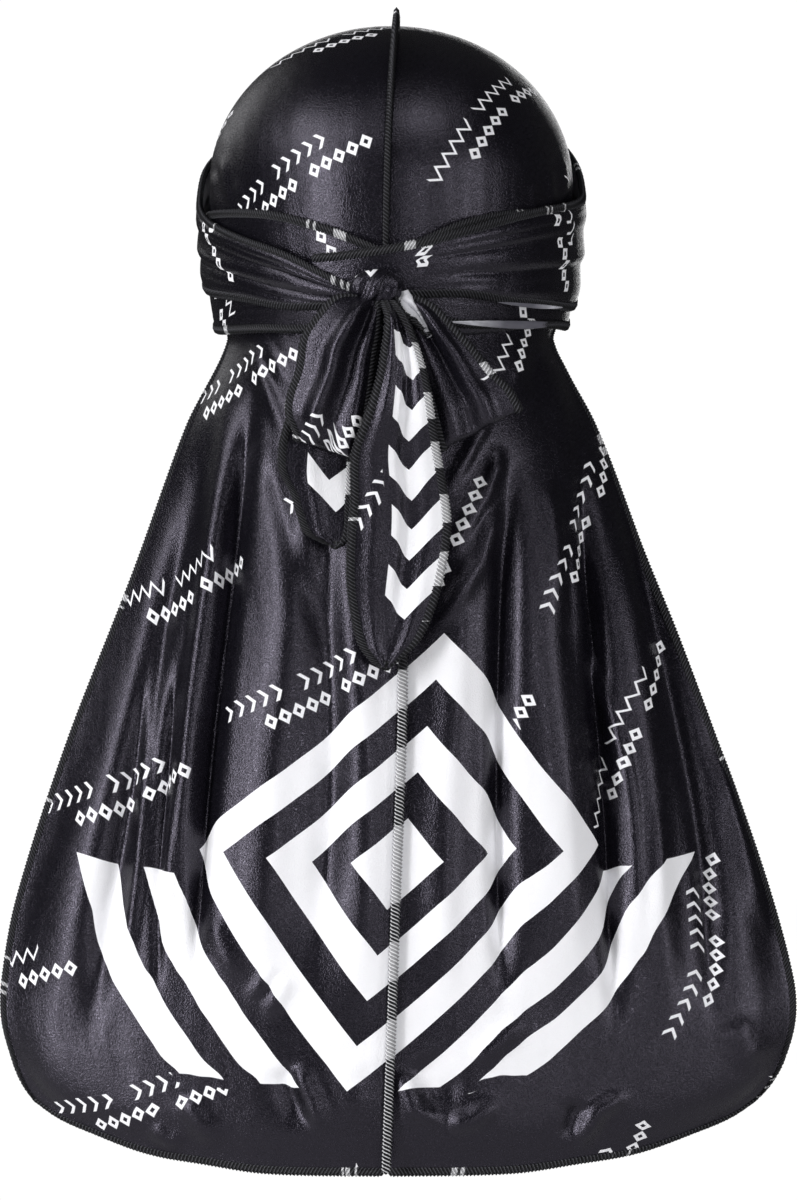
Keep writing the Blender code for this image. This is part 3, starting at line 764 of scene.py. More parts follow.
def marks(along, level, motif):
    """A line of marks in groups, with a space after each group."""
    number = math.floor(along / MARK)
    t = along - (number + 0.5) * MARK
    group = inside(number.maths("MODULO", MARKS_IN_A_GROUP + 1), MARKS_IN_A_GROUP - 0.5)
    return motif(t, level) * group * inside(along, STRIP_LENGTH) * inside(0 - along, 0.0)


def strips(along, over):
    """Mask of the small print: a double strip in every cell of a staggered grid."""
    row = math.floor(over / STRIP_ROW)
    along = along + row * STRIP_SHIFT
    cell = math.floor(along / STRIP_CELL)
    spot = joined(cell, row)
    chance = along.of("ShaderNodeTexWhiteNoise", {"noise_dimensions": "2D"}, {"Vector": spot})
    along = along - cell * STRIP_CELL
    over = over - row * STRIP_ROW
    pick = inside(chance, 0.5)
    upper_along, upper_over = along - UPPER_LINE[0], over - UPPER_LINE[1]
    upper = marks(upper_along, upper_over, chevron) * pick
    upper = upper + marks(upper_along, upper_over, zigzag) * (1 - pick)
    return upper + marks(along - LOWER_LINE[0], over - LOWER_LINE[1], lozenge)


print(f"a double strip in every {STRIP_CELL * 1000:.0f} x {STRIP_ROW * 1000:.0f} mm of the print")

# %% [markdown]
# The cape carries one large motif of leaning lozenges, one inside another, between two wings of slanting
# stripes, and the free ends carry bold chevrons. The small print stops short of them, so each of these
# patterns gives two masks: its own white, and the place that it keeps clear.

# %% The large patterns
MEDALLION_LEVEL = -0.229
MEDALLION_LEAN = 0.18
MEDALLION_RINGS = 2.5
LOZENGE_WIDE = 0.0400
LOZENGE_TALL = 0.0395
LOZENGE_WHITE = 0.50
WING_RING = 3.02
WING_STRIPES = (0.25, 1.15)
WING_HALF_STRIPE = 0.25
WING_TOP = 0.0120
WING_DROP = 0.0980
CLEAR_ROUND = 0.08
CLEAR_WINGS = 1.5
CLEAR_MARGIN = 0.0040

ARROW_TIP_ASIDE = 0.006
ARROW_SLOPE = 0.9
ARROW_STEP = 0.026
ARROW_WHITE = 0.52
ARROWS_TOP = 0.020
ARROWS_BOTTOM = 0.147
ARROWS_LEFT = 0.004
ARROWS_CLEAR = 0.007


def medallion(x, y):
    """The cape's large motif, and the place that it keeps clear of small print."""
    down = MEDALLION_LEVEL - y
    x = x + down * MEDALLION_LEAN
    ring = abs(x) / LOZENGE_WIDE + abs(down) / LOZENGE_TALL
    stripe = inside(ring - math.floor(ring), LOZENGE_WHITE) * inside(ring, MEDALLION_RINGS)
    near, far = (inside(abs(ring - WING_RING - stripe_at), WING_HALF_STRIPE) for stripe_at in WING_STRIPES)
    wing = (near + far) * inside(down, WING_DROP) * inside(0 - down, -WING_TOP)
    beside = inside(ring, WING_RING + CLEAR_WINGS) * inside(down, WING_DROP + CLEAR_MARGIN)
    beside = beside * inside(0 - down, CLEAR_MARGIN - WING_TOP)
    return stripe + wing, inside(ring, MEDALLION_RINGS + CLEAR_ROUND).maths("MAXIMUM", beside)


def arrows(x, y):
    """The bold chevrons on the free ends, and the place that they keep clear."""
    step = (abs(x - ARROW_TIP_ASIDE) * ARROW_SLOPE - y) / ARROW_STEP
    stripe = inside(step - math.floor(step), ARROW_WHITE) * inside(0 - x, ARROWS_LEFT)
    stripe = stripe * inside(0 - y, ARROWS_BOTTOM) * inside(y, -ARROWS_TOP)
    return stripe, inside(0 - x, ARROWS_CLEAR)


def print_mask(start, big):
    """Mask of all the print on a piece, with one of the large patterns if it is given."""
    along, over = flat_place(start, "print")
    mask = strips(along, over)
    if big:
        x, y = flat_place(start, "cloth")
        motif, clear = big(x, y)
        mask = (mask * (1 - clear)).maths("MAXIMUM", motif)
    return mask


print(f"the large lozenges are {MEDALLION_RINGS * LOZENGE_WIDE * 2000:.0f} mm wide")

# %% [markdown]
# ## Satin
#
# Satin is black dye on smooth polyester: very dark, with a wide soft gleam that breaks up into fine
# grain. Principled with a middling roughness gives the gleam, and a tint its violet cast. Noise at the
# size of the threads varies the colour and the roughness, and bends the surface a little on top of soft
# ripples, which gives the grain. The white print is a thin layer on top, and duller.

# %% Satin
SATIN_BLACK = (0.0012, 0.0011, 0.0020, 1.0)
SATIN_GLINT = (0.0062, 0.0057, 0.0088, 1.0)
SATIN_GLEAM = (0.86, 0.80, 1.0, 1.0)
INK_WHITE = (0.88, 0.88, 0.91, 1.0)
SATIN_ROUGHNESS = 0.31
GLINT_SMOOTHER = 0.12
INK_ROUGHER = 0.22
SATIN_SPECULAR = 0.45
GRAIN_SIZE = 0.00062
GRAIN_LIMITS = (0.35, 0.65)
GRAIN_DEPTH = 0.00007
RIPPLES_ACROSS = 48.0
RIPPLES_DOWN = 11.0
RIPPLE_DEPTH = 0.0012


def speckle(start):
    """Noise the size of the threads, from 0 to 1."""
    return ranged(noise(solid_place(start), 1 / GRAIN_SIZE, 1.0), *GRAIN_LIMITS)


def grain(start, fine):
    """Bump of soft ripples along the cloth, with its fine grain on top."""
    x, y = flat_place(start, "cloth")
    ripple = noise(joined(x * RIPPLES_ACROSS, y * RIPPLES_DOWN), 1.0, 2.0)
    return bump(fine, GRAIN_DEPTH, bump(ripple, RIPPLE_DEPTH))


def satin(name, big=None):
    finish, shader, start = new_finish(name)
    mask = print_mask(start, big)
    fine = speckle(start)
    colour = mixed(mask, mixed(fine, SATIN_BLACK, SATIN_GLINT), INK_WHITE)
    roughness = SATIN_ROUGHNESS - fine * GLINT_SMOOTHER + mask * INK_ROUGHER
    colour.feed(shader, "Base Color")
    roughness.feed(shader, "Roughness")
    grain(start, fine).feed(shader, "Normal")
    shader.inputs["Specular IOR Level"].default_value = SATIN_SPECULAR
    shader.inputs["Specular Tint"].default_value = SATIN_GLEAM
    return finish


cape_satin = satin("satin_of_the_panels", medallion)
tie_satin = satin("satin_of_the_ties")
end_satin = satin("satin_of_the_free_ends", arrows)
print(len(cape_satin.node_tree.nodes), "nodes in the satin of the panels")

# %% [markdown]
# ## The reverse
#
# The reverse is the undyed cloth with the black showing through, a cloudy grey. In a rolled hem it lies in
# shade, and only one end of it is light. The roll is too thin to cast that shade by itself, so the shade
# and the light at that one end are painted into the colour, and follow the flat cloth.

# %% The reverse
REVERSE_GREY = (0.40, 0.40, 0.43, 1.0)
REVERSE_LIGHT = (0.62, 0.62, 0.66, 1.0)
REVERSE_CLOUDS = 60.0
CLOUD_DETAIL = 4.0
REVERSE_ROUGHNESS = 0.42
SHADED_GREY = (0.070, 0.068, 0.090, 1.0)
SHADED_LIGHT = (0.60, 0.60, 0.66, 1.0)
ROLL_STREAKS_ALONG = 130.0
ROLL_STREAKS_ACROSS = 500.0
ROLL_LIT_TO = (0.010, 0.028)
ROLL_LIT = 1.6
ROLL_DIM = 0.18


def reverse(name):
    finish, shader, start = new_finish(name)
    cloudy = noise(solid_place(start), REVERSE_CLOUDS, CLOUD_DETAIL)
    mixed(cloudy, REVERSE_GREY, REVERSE_LIGHT).feed(shader, "Base Color")
    grain(start, speckle(start)).feed(shader, "Normal")
    shader.inputs["Roughness"].default_value = REVERSE_ROUGHNESS
    return finish


def rolled_reverse(name):
    """The reverse in a rolled hem, with painted light at its near end and painted shade along the rest."""
    finish, shader, start = new_finish(name)
    x, y = flat_place(start, "cloth")
    streaks = noise(joined(x * ROLL_STREAKS_ALONG, y * ROLL_STREAKS_ACROSS), 1.0, 2.0)
    # Painted light at the near end, over streaky painted shade along the rest of the roll.
    lit = ranged(x, *ROLL_LIT_TO, 1.0, 0.0)
    share = lit * streaks * ROLL_LIT + streaks * ROLL_DIM
    mixed(share, SHADED_GREY, SHADED_LIGHT).feed(shader, "Base Color")
    shader.inputs["Roughness"].default_value = REVERSE_ROUGHNESS
    return finish


satin_reverse = reverse("reverse_of_the_satin")
shaded_reverse = rolled_reverse("reverse_in_the_rolled_hems")
print(len(satin_reverse.node_tree.nodes), "nodes in the reverse")

# %% [markdown]
# ## Overlock thread
#
# The thread is black too, and dull beside the satin. Each stitch shows as a slanting loop with a painted
# highlight along its crest. The white print runs on over the loops, whitest on the crests and darker in the
# grooves between them, which is painted shade. On the cape the seam has light thread as well, drawn only on
# the crests of the loops where the painted highlight lies, so it shows there as a ladder.

# %% Overlock thread
THREAD_BLACK = (0.003, 0.003, 0.004, 1.0)
# The second thread colour is a painted highlight on the crests of the loops.
THREAD_CREST_HIGHLIGHT = (0.070, 0.070, 0.080, 1.0)
THREAD_SLANT = 0.6
THREAD_DEPTH = 0.0004
THREAD_ROUGHNESS = 0.62
THREAD_SPECULAR = 0.2
# Where on each loop the painted highlight lies, and how white the print is in the painted shade of the
# grooves and on the crests.
CREST_HIGHLIGHT_LIMITS = (0.55, 0.95)
PRINT_IN_SHADED_GROOVES = 0.35
PRINT_HIGHLIGHT_ON_CRESTS = 0.65
LADDER_WHITE = 0.85
LADDER_TOP = -0.152


def overlock(name, big=None, light_below=None):
    """Overlock stitches, with light thread below a level of the flat cloth if one is given."""
    finish, shader, start = new_finish(name)
    mask = print_mask(start, big)
    along, around = flat_place(start, "thread")
    turns = (along + around * THREAD_SLANT) / STITCH
    loop = abs(turns - math.floor(turns) - 0.5) * 2
    # Painted highlight on the crests of the loops, where the bump is highest. It gives a lighter thread
    # colour there and whiter print than in the painted shade of the grooves, and it also places the light
    # thread of the ladder.
    crest_highlight_and_stitches = ranged(loop, *CREST_HIGHLIGHT_LIMITS)
    white = mask * (PRINT_IN_SHADED_GROOVES + crest_highlight_and_stitches * PRINT_HIGHLIGHT_ON_CRESTS)
    if light_below:
        below = inside(flat_place(start, "cloth")[1], light_below)
        white = white.maths("MAXIMUM", crest_highlight_and_stitches * below * LADDER_WHITE)
    mixed(white, mixed(crest_highlight_and_stitches, THREAD_BLACK, THREAD_CREST_HIGHLIGHT), INK_WHITE).feed(shader, "Base Color")
    bump(loop, THREAD_DEPTH).feed(shader, "Normal")
    shader.inputs["Roughness"].default_value = THREAD_ROUGHNESS
    shader.inputs["Specular IOR Level"].default_value = THREAD_SPECULAR
    return finish


cape_thread = overlock("overlock_of_the_panels", medallion)
seam_thread = overlock("overlock_of_the_seam", medallion, LADDER_TOP)
tie_thread = overlock("overlock_of_the_ties")
end_thread = overlock("overlock_of_the_free_ends", arrows)
print(len(seam_thread.node_tree.nodes), "nodes in the thread of the seam")

# %% [markdown]
# ## The two panels
#
# The panels get many rows on the cape, where the folds are. Each point moves out by the height of the
# folds there, away from the head on the crown, and back and a little outwards on the cape.

# %% The panels and their hems
CROWN_ROWS = 100
CAPE_ROWS = 232
PANEL_COLUMNS = 112
FOLDS_SPREAD = 0.4
BAND_COVERS = 0.025
BAND_BLEND = 0.05
EAR_BLEND_HEIGHT = 0.02
PRINT_ANGLE = {-1: 27, 1: 62}
PRINT_SHIFT = {-1: (0.010, 0.012), 1: (0.060, 0.020)}

panel_grids = {}
panel_maps = {}
for name, side in (("panel_left", -1), ("panel_right", 1)):
    along = np.concatenate((np.linspace(0, 1, CROWN_ROWS + 1), 1 + np.linspace(0, 1, CAPE_ROWS + 1)[1:]))
    across = np.linspace(0, 1, PANEL_COLUMNS + 1)
    flat = panel_surface(along, across, side)
    x = flat[..., 0]
    back = np.stack((FOLDS_SPREAD * x / CAPE_HALF_WIDTH, -1 + 0 * x, 0 * x), -1)
    on_crown = (along <= 1)[:, None, None]
    away = np.where(on_crown, head_normal(flat), unit(back))
    below_band = smooth(((EAR_LEVEL - flat[..., 2]) / CAPE_LENGTH - BAND_COVERS) / BAND_BLEND)
    shown = np.where(on_crown[..., 0], smooth(flat[..., 2] / EAR_BLEND_HEIGHT), below_band)
    grid = flat + away * (fold_height(flat) * shown)[..., None]
    grid[CROWN_ROWS + 1 :, :, 1] += edge_roll(flat[CROWN_ROWS + 1 :], along[CROWN_ROWS + 1 :])
    x, y = flat_lengths(grid)
    y = y[CROWN_ROWS] - y + flat[CROWN_ROWS, :, 2] - NAPE[2]
    maps = flat_maps(side * x, y, PRINT_ANGLE[side], PRINT_SHIFT[side])
    piece = cloth(f"{name}_cloth", grid, maps, [cape_satin, satin_reverse], turned=side > 0)
    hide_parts(name)
    border = hem(f"hem_{name}", grid, maps, round_the_panel, cape_thread, turned=side > 0)
    panel_grids[side], panel_maps[side] = grid, maps

# %% [markdown]
# ## The centre seam
#
# The panels are sewn together with their raw edges outwards, so the overlocked seam allowance stands up
# like a low fin. It is highest over the top of the head, is pressed flat under the ties, and shows as a
# light ladder of stitches on the cape. It is the same rope as the hems, but tall and thin.

# %% The centre seam
SEAM_RIDGE = 0.0065
SEAM_PRESSED = 0.0016
SEAM_ON_CAPE = 0.0030
SEAM_STANDOFF = 0.0006
SEAM_HALF_THICKNESS = 0.0014
SEAM_SUNK = 0.0004
LADDER_WIDER = 0.45
SEAM_HEIGHT = (
    # along, ridge, pressed, on cape
    (0.00, 0.0, 1.0, 0.0),
    (0.25, 0.0, 1.0, 0.0),
    (0.33, 0.7, 0.3, 0.0),
    (0.42, 1.0, 0.0, 0.0),
    (0.64, 1.0, 0.0, 0.0),
    (0.72, 0.5, 0.5, 0.0),
    (0.78, 0.0, 1.0, 0.0),
    (1.04, 0.0, 1.0, 0.0),
    (1.16, 0.0, 0.0, 1.0),
    (2.00, 0.0, 0.0, 1.0),
)
seam_line = panel_surface(along, np.zeros(1), 0)[:, 0]
ridge, pressed, on_cape = read_table(SEAM_HEIGHT, along)
seam_height = ridge * SEAM_RIDGE + pressed * SEAM_PRESSED + on_cape * SEAM_ON_CAPE
seam_run = np.gradient(seam_line, axis=0)
seam_out = unit(np.stack((0 * seam_run[:, 0], seam_run[:, 2], -seam_run[:, 1]), -1))
seam_middle = seam_line + seam_out * (CLOTH + SEAM_STANDOFF + seam_height / 2)[:, None]
seam_side = np.tile((1.0, 0.0, 0.0), (len(along), 1)) * (1 + LADDER_WIDER * on_cape)[:, None]
seam_maps = {key: values[:, 0] for key, values in panel_maps[1].items()}
seam = rope(
    "centre_seam_stitches",
    seam_middle,
    seam_side,
    seam_out * (seam_height / 2 + SEAM_SUNK)[:, None],
    seam_maps,
    SEAM_HALF_THICKNESS,
    1.0,
    seam_thread,
)
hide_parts("centre_seam")

# %% [markdown]
# ## The ties
#
# Each tie is one long band, sewn on at the temple and wound round the head, low at the nape and high over
# the forehead. Behind the head the pull of the knot gathers it into long pleats. A table gives the
# levels of its two edges at each turn, in shares of the crown's height. Layers keep the windings apart.
# Fine pleats wander over the broad ones on slow waves, whose numbers only have to be unlike each other.

# %% The ties
SEAM_CLEARED = 38
TIE_PLEAT = 0.0011
TIE_PLEATS = 3
FINE_PLEAT = 0.00040
FINE_PLEATS = 6
FINE_ALWAYS = 0.12
PLEATS_FADE = 25
TIE_ROWS = 420
TIE_COLUMNS = 40
LEFT_TIE = (
    # turn, bottom, top, layer
    (-112, 0.12, 0.34, 0),
    (-90, 0.15, 0.38, 0),
    (-45, 0.18, 0.37, 0),
    (-22, 0.13, 0.32, 0),
    (0, 0.06, 0.23, 0),
    (22, 0.01, 0.15, 0),
    (45, 0.01, 0.16, 0),
    (66, 0.02, 0.17, 1),
    (90, 0.03, 0.18, 1),
    (128, 0.13, 0.34, 1),
    (145, 0.16, 0.38, 1),
    (180, 0.35, 0.60, 1),
    (215, 0.41, 0.67, 1),
    (224, 0.40, 0.67, 1),
    (246, 0.31, 0.60, 2),
    (258, 0.24, 0.54, 2),
    (270, 0.16, 0.43, 2),
    (310, 0.098, 0.292, 2),
    (328, 0.072, 0.235, 3),
    (347, 0.074, 0.140, 3),
    (356, 0.076, 0.120, 3),
)
RIGHT_TIE = (
    # turn, bottom, top, layer
    (-112, 0.12, 0.34, 0),
    (-90, 0.15, 0.38, 0),
    (-45, 0.18, 0.37, 0),
    (-22, 0.16, 0.33, 1),
    (0, 0.06, 0.23, 1),
    (22, 0.00, 0.15, 1),
    (45, 0.00, 0.15, 1),
    (90, 0.02, 0.17, 1),
    (126, 0.12, 0.33, 1),
    (147, 0.16, 0.38, 2),
    (180, 0.35, 0.60, 2),
    (215, 0.41, 0.67, 2),
    (246, 0.30, 0.63, 2),
    (258, 0.20, 0.56, 2),
    (270, 0.10, 0.46, 2),
    (316, 0.086, 0.369, 2),
    (337, 0.107, 0.310, 2),
    (354, 0.103, 0.264, 2),
    (374, 0.105, 0.231, 2),
    (384, 0.105, 0.225, 2),
)


def seam_lift(turn):
    """How far the ties are lifted where they cross the pressed seam, at the back and at the forehead."""
    away = np.abs((turn + 90) % 180 - 90)
    return (SEAM_PRESSED + SEAM_STANDOFF) * smooth(1 - away / SEAM_CLEARED)


def tie_grid(rows, side, pleated):
    """Points of a tie. Pleated gives the turns between which its gathers show."""
    turn = np.linspace(rows[0][0], rows[-1][0], TIE_ROWS + 1)[:, None]
    across = np.linspace(0, 1, TIE_COLUMNS + 1)[None, :]
    bottom, top, layer = read_table(rows, turn)
    level = (bottom + (top - bottom) * across) * CROWN_HEIGHT
    points = head_at(side * turn + 0 * across, level)
    shown = smooth((turn - pleated[0]) / PLEATS_FADE) * smooth((pleated[1] - turn) / PLEATS_FADE)
    pleat = TIE_PLEAT * shown * (0.5 - 0.5 * np.cos(2 * math.pi * TIE_PLEATS * across))
    drift = 0.5 * np.sin(np.radians(turn) * 2.3) + 0.30 * np.sin(np.radians(turn) * 4.1 + 5 * across)
    patchy = 0.5 + 0.5 * np.sin(np.radians(turn) * 3.2 + 11 * across)
    fine = FINE_PLEAT * (FINE_ALWAYS + (1 - FINE_ALWAYS) * shown) * patchy
    fine = fine * np.sin(2 * math.pi * FINE_PLEATS * across**1.2 + 2.2 * drift)
    away = CLOTH + LAYER_GAP + layer * LAYER + seam_lift(turn) + pleat + fine
    return points + head_normal(points) * away[..., None]


for name, rows, side, pleated, angle, shift in (
    ("tie_left", LEFT_TIE, 1, (236, 360), -52, (0.02, 0.030)),
    ("tie_right", RIGHT_TIE, -1, (150, 352), -46, (0.05, 0.020)),
):
    grid = tie_grid(rows, side, pleated)
    width, length = flat_lengths(grid)
    maps = flat_maps(side * length, width, angle, shift)
    piece = cloth(f"{name}_cloth", grid, maps, [tie_satin, satin_reverse], turned=side > 0)
    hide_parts(name)
    lower = hem(f"hem_{name}_lower", grid, maps, first_column, tie_thread, turned=side > 0)
    upper = hem(f"hem_{name}_upper", grid, maps, last_column, tie_thread, turned=side > 0)

# %% [markdown]
# Where the lower hems are stretched over the head's right side they roll over, and a thin crescent of the
# pale reverse shows along them. To turn the tie's own edge over would crowd the layers there, so each
# crescent is a thin piece of its own, laid on the hem.

# %% Rolled hems of the ties
CURL_ROWS = 60
CURL_COLUMNS = 8
CURL_BULGE = 0.12
CURL_TIP = 0.15
HEM_CURLS = (
    # name, first angle, last angle, level, rise along it, half height, layer, end that has the painted
    # light
    ("tie_left_curl", 19, 71, 0.0030, 0.0014, 0.00155, 1.6, -1),
    ("tie_right_curl", 34, 66, 0.0118, -0.0006, 0.00075, 3.0, 1),
)
for name, first, last, level, rise, half, layer, lit in HEM_CURLS:
    share = np.linspace(0, 1, CURL_ROWS + 1)[:, None]
    across = np.linspace(-1, 1, CURL_COLUMNS + 1)[None, :]
    angle = first + (last - first) * share
    tall = half * (CURL_TIP + (1 - CURL_TIP) * np.sin(math.pi * share))
    z = level + rise * share + tall * (across - 1)
    points = head_at(angle + 0 * across, z)
    bulge = CURL_BULGE * half * (1 - across**2) * np.sin(math.pi * share)
    away = LAYER_GAP + layer * LAYER + seam_lift(angle) + bulge
    grid = points + head_normal(points) * away[..., None]
    width, length = flat_lengths(grid)
    maps = flat_maps(length if lit < 0 else length[-1:] - length, width, 0)
    # Each crescent takes the reverse with painted shade, and painted light at one end.
    cloth(name, grid, maps, [shaded_reverse, shaded_reverse], turned=True)

# %% [markdown]
# ## The knot
#
# The two ties cross behind the head and are pulled tight into a small hard lump, with all the cloth
# gathered into folds that run over it. It starts as a ball, which is flattened against the ties, and is
# then grooved by waves round its own axis. Blender lists a ball's faces in another order at each run, so
# they are sorted by the numbers of their corners, and the mesh is the same each time.

# %% The knot
KNOT_WIDTH = 0.0240
KNOT_HEIGHT = 0.0170
KNOT_DEPTH = 0.0150
KNOT_BACK_SHARE = 0.34
KNOT_LEVEL = 0.0150
KNOT_ASIDE = -0.0060
KNOT_SLANT = 0.55
KNOT_SWAY = 0.05
BROAD_GROOVE, BROAD_GROOVES, BROAD_START = 0.09, 17, 0.8
FINE_GROOVE, FINE_GROOVES = 0.045, 39
KNOT_PRINT_SHIFT = 0.1
ORDER_BASE = 10000


def knot_seat():
    """Depth of the outermost tie behind the head at the knot's level."""
    point = head_at(np.zeros(1), np.array([KNOT_LEVEL]))
    away = CLOTH + LAYER_GAP + 3 * LAYER + CLOTH + seam_lift(0)
    return float((point + head_normal(point) * away)[0, 1]) - GAP


def corner_order(face):
    """One number made from the three lowest corner numbers of a face."""
    first, second, third = sorted(vert.index for vert in face.verts)[:3]
    return (first * ORDER_BASE + second) * ORDER_BASE + third


bm = bmesh.new()
bmesh.ops.create_uvsphere(bm, u_segments=96, v_segments=56, radius=0.5, calc_uvs=False)
bm.verts.index_update()
bm.faces.sort(key=corner_order)
cloth_map = bm.loops.layers.uv.new("cloth")
print_map = bm.loops.layers.uv.new("print")
flat_back = KNOT_DEPTH * KNOT_BACK_SHARE
for vert in bm.verts:
    front = max(0.0, -vert.co.y * 2)
    strand = vert.co.x - vert.co.z * KNOT_SLANT + KNOT_SWAY * math.sin(7 * vert.co.z)
    broad = BROAD_GROOVE * math.cos(BROAD_GROOVES * strand + BROAD_START)
    groove = 1 + (broad + FINE_GROOVE * math.cos(FINE_GROOVES * strand)) * front
    vert.co.x *= KNOT_WIDTH * groove
    vert.co.y = min(vert.co.y * KNOT_DEPTH * groove, flat_back)
    vert.co.z *= KNOT_HEIGHT * groove
bmesh.ops.translate(bm, verts=bm.verts, vec=(KNOT_ASIDE, knot_seat() - flat_back, KNOT_LEVEL))
for face in bm.faces:
    for loop in face.loops:
        loop[cloth_map].uv = (loop.vert.co.x, loop.vert.co.z)
        loop[print_map].uv = (loop.vert.co.x + KNOT_PRINT_SHIFT, loop.vert.co.z)
knot = finish_piece("knot_cloth", bm, [tie_satin])
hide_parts("knot")
print("knot seated at", round(knot_seat() * 1000, 1), "mm")

# %% [markdown]
# ## The bow
#
# Two loops and two free ends come out under the knot. Each is a ribbon given by the places of its two
# long edges, read from the photograph, and by how far it stands off the cape. A loop goes out to its far
# end, turns, and comes back under itself, so it is really a flat tube that is open at both sides.

# %% Ribbons
FOLD_CLEAR = 0.0084
FOLDS_FROM = 0.03
FOLDS_BLEND = 0.10
BARE_BELOW_KNOT = 0.055


def rest_depth(z):
    """Depth at which a ribbon of the bow lies on the cape, clear of its folds and of the centre seam."""
    down = np.clip((EAR_LEVEL - z) / CAPE_LENGTH, 0, 1)
    clear = FOLD_CLEAR * smooth((down - FOLDS_FROM) / FOLDS_BLEND)
    on_cape = cape_centre(down)[..., 1] - CLOTH - clear - GAP
    beyond_cape = np.minimum(knot_seat() - on_cape, 0)
    return on_cape + beyond_cape * smooth((z + BARE_BELOW_KNOT) / BARE_BELOW_KNOT)


def ribbon_edges(rows, share):
    """Left and right edge points of a ribbon and its rise, at shares of its length."""
    table = np.column_stack((np.linspace(0, 1, len(rows)), rows))
    left_x, left_z, right_x, right_z, rise = read_table(table, share)
    left = np.stack((left_x, 0 * left_x, left_z), -1) / 1000
    right = np.stack((right_x, 0 * right_x, right_z), -1) / 1000
    return left, right, rise


print("depth of the bow under the knot:", rest_depth(np.array([KNOT_LEVEL])).round(4))

# %% [markdown]
# ### Loops
#
# The left loop is full and falls almost straight down, with a sharp fold from the knot to its lower left
# corner. The right one is flatter and lies out to the side. The tables give places in millimetres, and
# each crease by its place across the loop at its root and at its end, its half width and its height.

# %% The loops
LEFT_LOOP = (
    # left x, left z, right x, right z, rise
    (-15.0, 11.5, -4.5, 10.5, 0.10),
    (-24.0, 11.0, -4.7, 4.0, 0.60),
    (-31.3, 3.3, -5.5, -4.8, 1.00),
    (-37.4, -6.1, -7.2, -14.7, 1.00),
    (-39.5, -19.0, -8.5, -26.3, 1.00),
    (-43.4, -30.6, -9.8, -36.2, 0.90),
    (-44.2, -38.8, -11.5, -45.7, 0.75),
    (-40.8, -47.0, -15.4, -55.2, 0.40),
)
RIGHT_LOOP = (
    # left x, left z, right x, right z, rise
    (2.2, 10.5, 7.1, 12.5, 0.10),
    (4.8, 1.6, 17.7, 8.0, 0.60),
    (9.1, -9.2, 26.3, -1.0, 1.00),
    (12.5, -19.9, 35.8, -11.3, 1.00),
    (16.0, -30.6, 43.5, -21.2, 0.90),
    (18.5, -40.5, 50.4, -27.6, 0.75),
    (21.1, -51.7, 54.7, -34.5, 0.40),
)
LOOP_COLUMNS = 36
OUTER_ROWS, BEND_ROWS, INNER_ROWS = 56, 14, 44
LOOP_OPENING = 0.0080
OPEN_AT_ROOT = 0.35
LOOP_CREASE_BLEND = 0.15


def loop_grid(rows, seat, puff, creases):
    """Points of a loop: out along its outer ply, round its far end, and back under itself."""
    outer = np.linspace(0, 1, OUTER_ROWS + 1)
    inner = np.linspace(1, 0, INNER_ROWS + 1)
    share = np.concatenate((outer, np.ones(BEND_ROWS - 1), inner))
    ply = np.concatenate((0 * outer + 1, np.linspace(1, 0, BEND_ROWS + 1)[1:-1], 0 * inner))
    left, right, rise = ribbon_edges(rows, share)
    across = np.linspace(0, 1, LOOP_COLUMNS + 1)[None, :, None]
    points = left[:, None] * (1 - across) + right[:, None] * across
    over = 2 * across[..., 0] - 1
    middle = (left + right) / 2
    run = unit(np.gradient(middle, axis=0) + 1e-9)
    run[share >= 1] = unit(middle[OUTER_ROWS] - middle[OUTER_ROWS - 3])
    opening = (LOOP_OPENING * (OPEN_AT_ROOT + (1 - OPEN_AT_ROOT) * rise))[:, None]
    turned = (math.pi * ply)[:, None]
    points = points + run[:, None] * (opening * 0.5 * np.sin(turned))[..., None]
    bulge = puff * (rise * ply)[:, None] * (1 - over * over)
    depth = seat + opening * (0.5 - 0.5 * np.cos(turned)) + bulge
    for start, end, half, height in creases:
        line = start + (end - start) * share[:, None]
        ridge = np.exp(-(((across[..., 0] - line) / half) ** 2))
        depth = depth + height * ridge * (ply * smooth(share / LOOP_CREASE_BLEND))[:, None]
    points[..., 1] = rest_depth(points[..., 2]) - depth
    return points


loop_grids = {}
for name, rows, seat, puff, creases, angle, shift in (
    (
        "loop_left",
        LEFT_LOOP,
        0.0055,
        0.0050,
        ((0.60, 0.30, 0.11, 0.0044), (0.80, 0.58, 0.10, -0.0030), (0.88, 0.86, 0.08, 0.0016)),
        48,
        (0.035, 0.020),
    ),
    (
        "loop_right",
        RIGHT_LOOP,
        0.0020,
        0.0026,
        ((0.72, 0.62, 0.10, 0.0030), (0.48, 0.40, 0.09, -0.0026), (0.25, 0.18, 0.09, 0.0022)),
        55,
        (0.080, 0.022),
    ),
):
    grid = loop_grid(rows, seat, puff, creases)
    width, length = flat_lengths(grid)
    maps = flat_maps(width, -length, angle, shift)
    piece = cloth(f"{name}_cloth", grid, maps, [tie_satin, satin_reverse], turned=True, outwards=0.0)
    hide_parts(name)
    one = hem(f"hem_{name}_one", grid, maps, first_column, tie_thread, turned=True, outwards=0.0)
    other = hem(f"hem_{name}_other", grid, maps, last_column, tie_thread, turned=True, outwards=0.0)
    loop_grids[name] = grid

# %% [markdown]
# At its root the right loop's edge is turned back, so that a patch of the pale reverse shows there beside
# the knot. The patch lies on the loop's outer ply, at the depth of the nearest point of it.

# %% The turned-back root of the right loop
TURNED_BACK = (
    # left x, left z, right x, right z, rise
    (0.5, 12.8, 6.9, 14.5, 0.0),
    (1.4, 9.3, 9.9, 9.3, 0.0),
    (5.7, 4.2, 13.0, 4.2, 0.0),
    (11.7, -1.8, 15.5, -1.0, 0.0),
    (16.4, -5.7, 17.3, -5.7, 0.0),
)
PATCH_ROWS = 48
PATCH_COLUMNS = 16
PATCH_STANDOFF = 0.0016
PATCH_WAVE = 0.0006

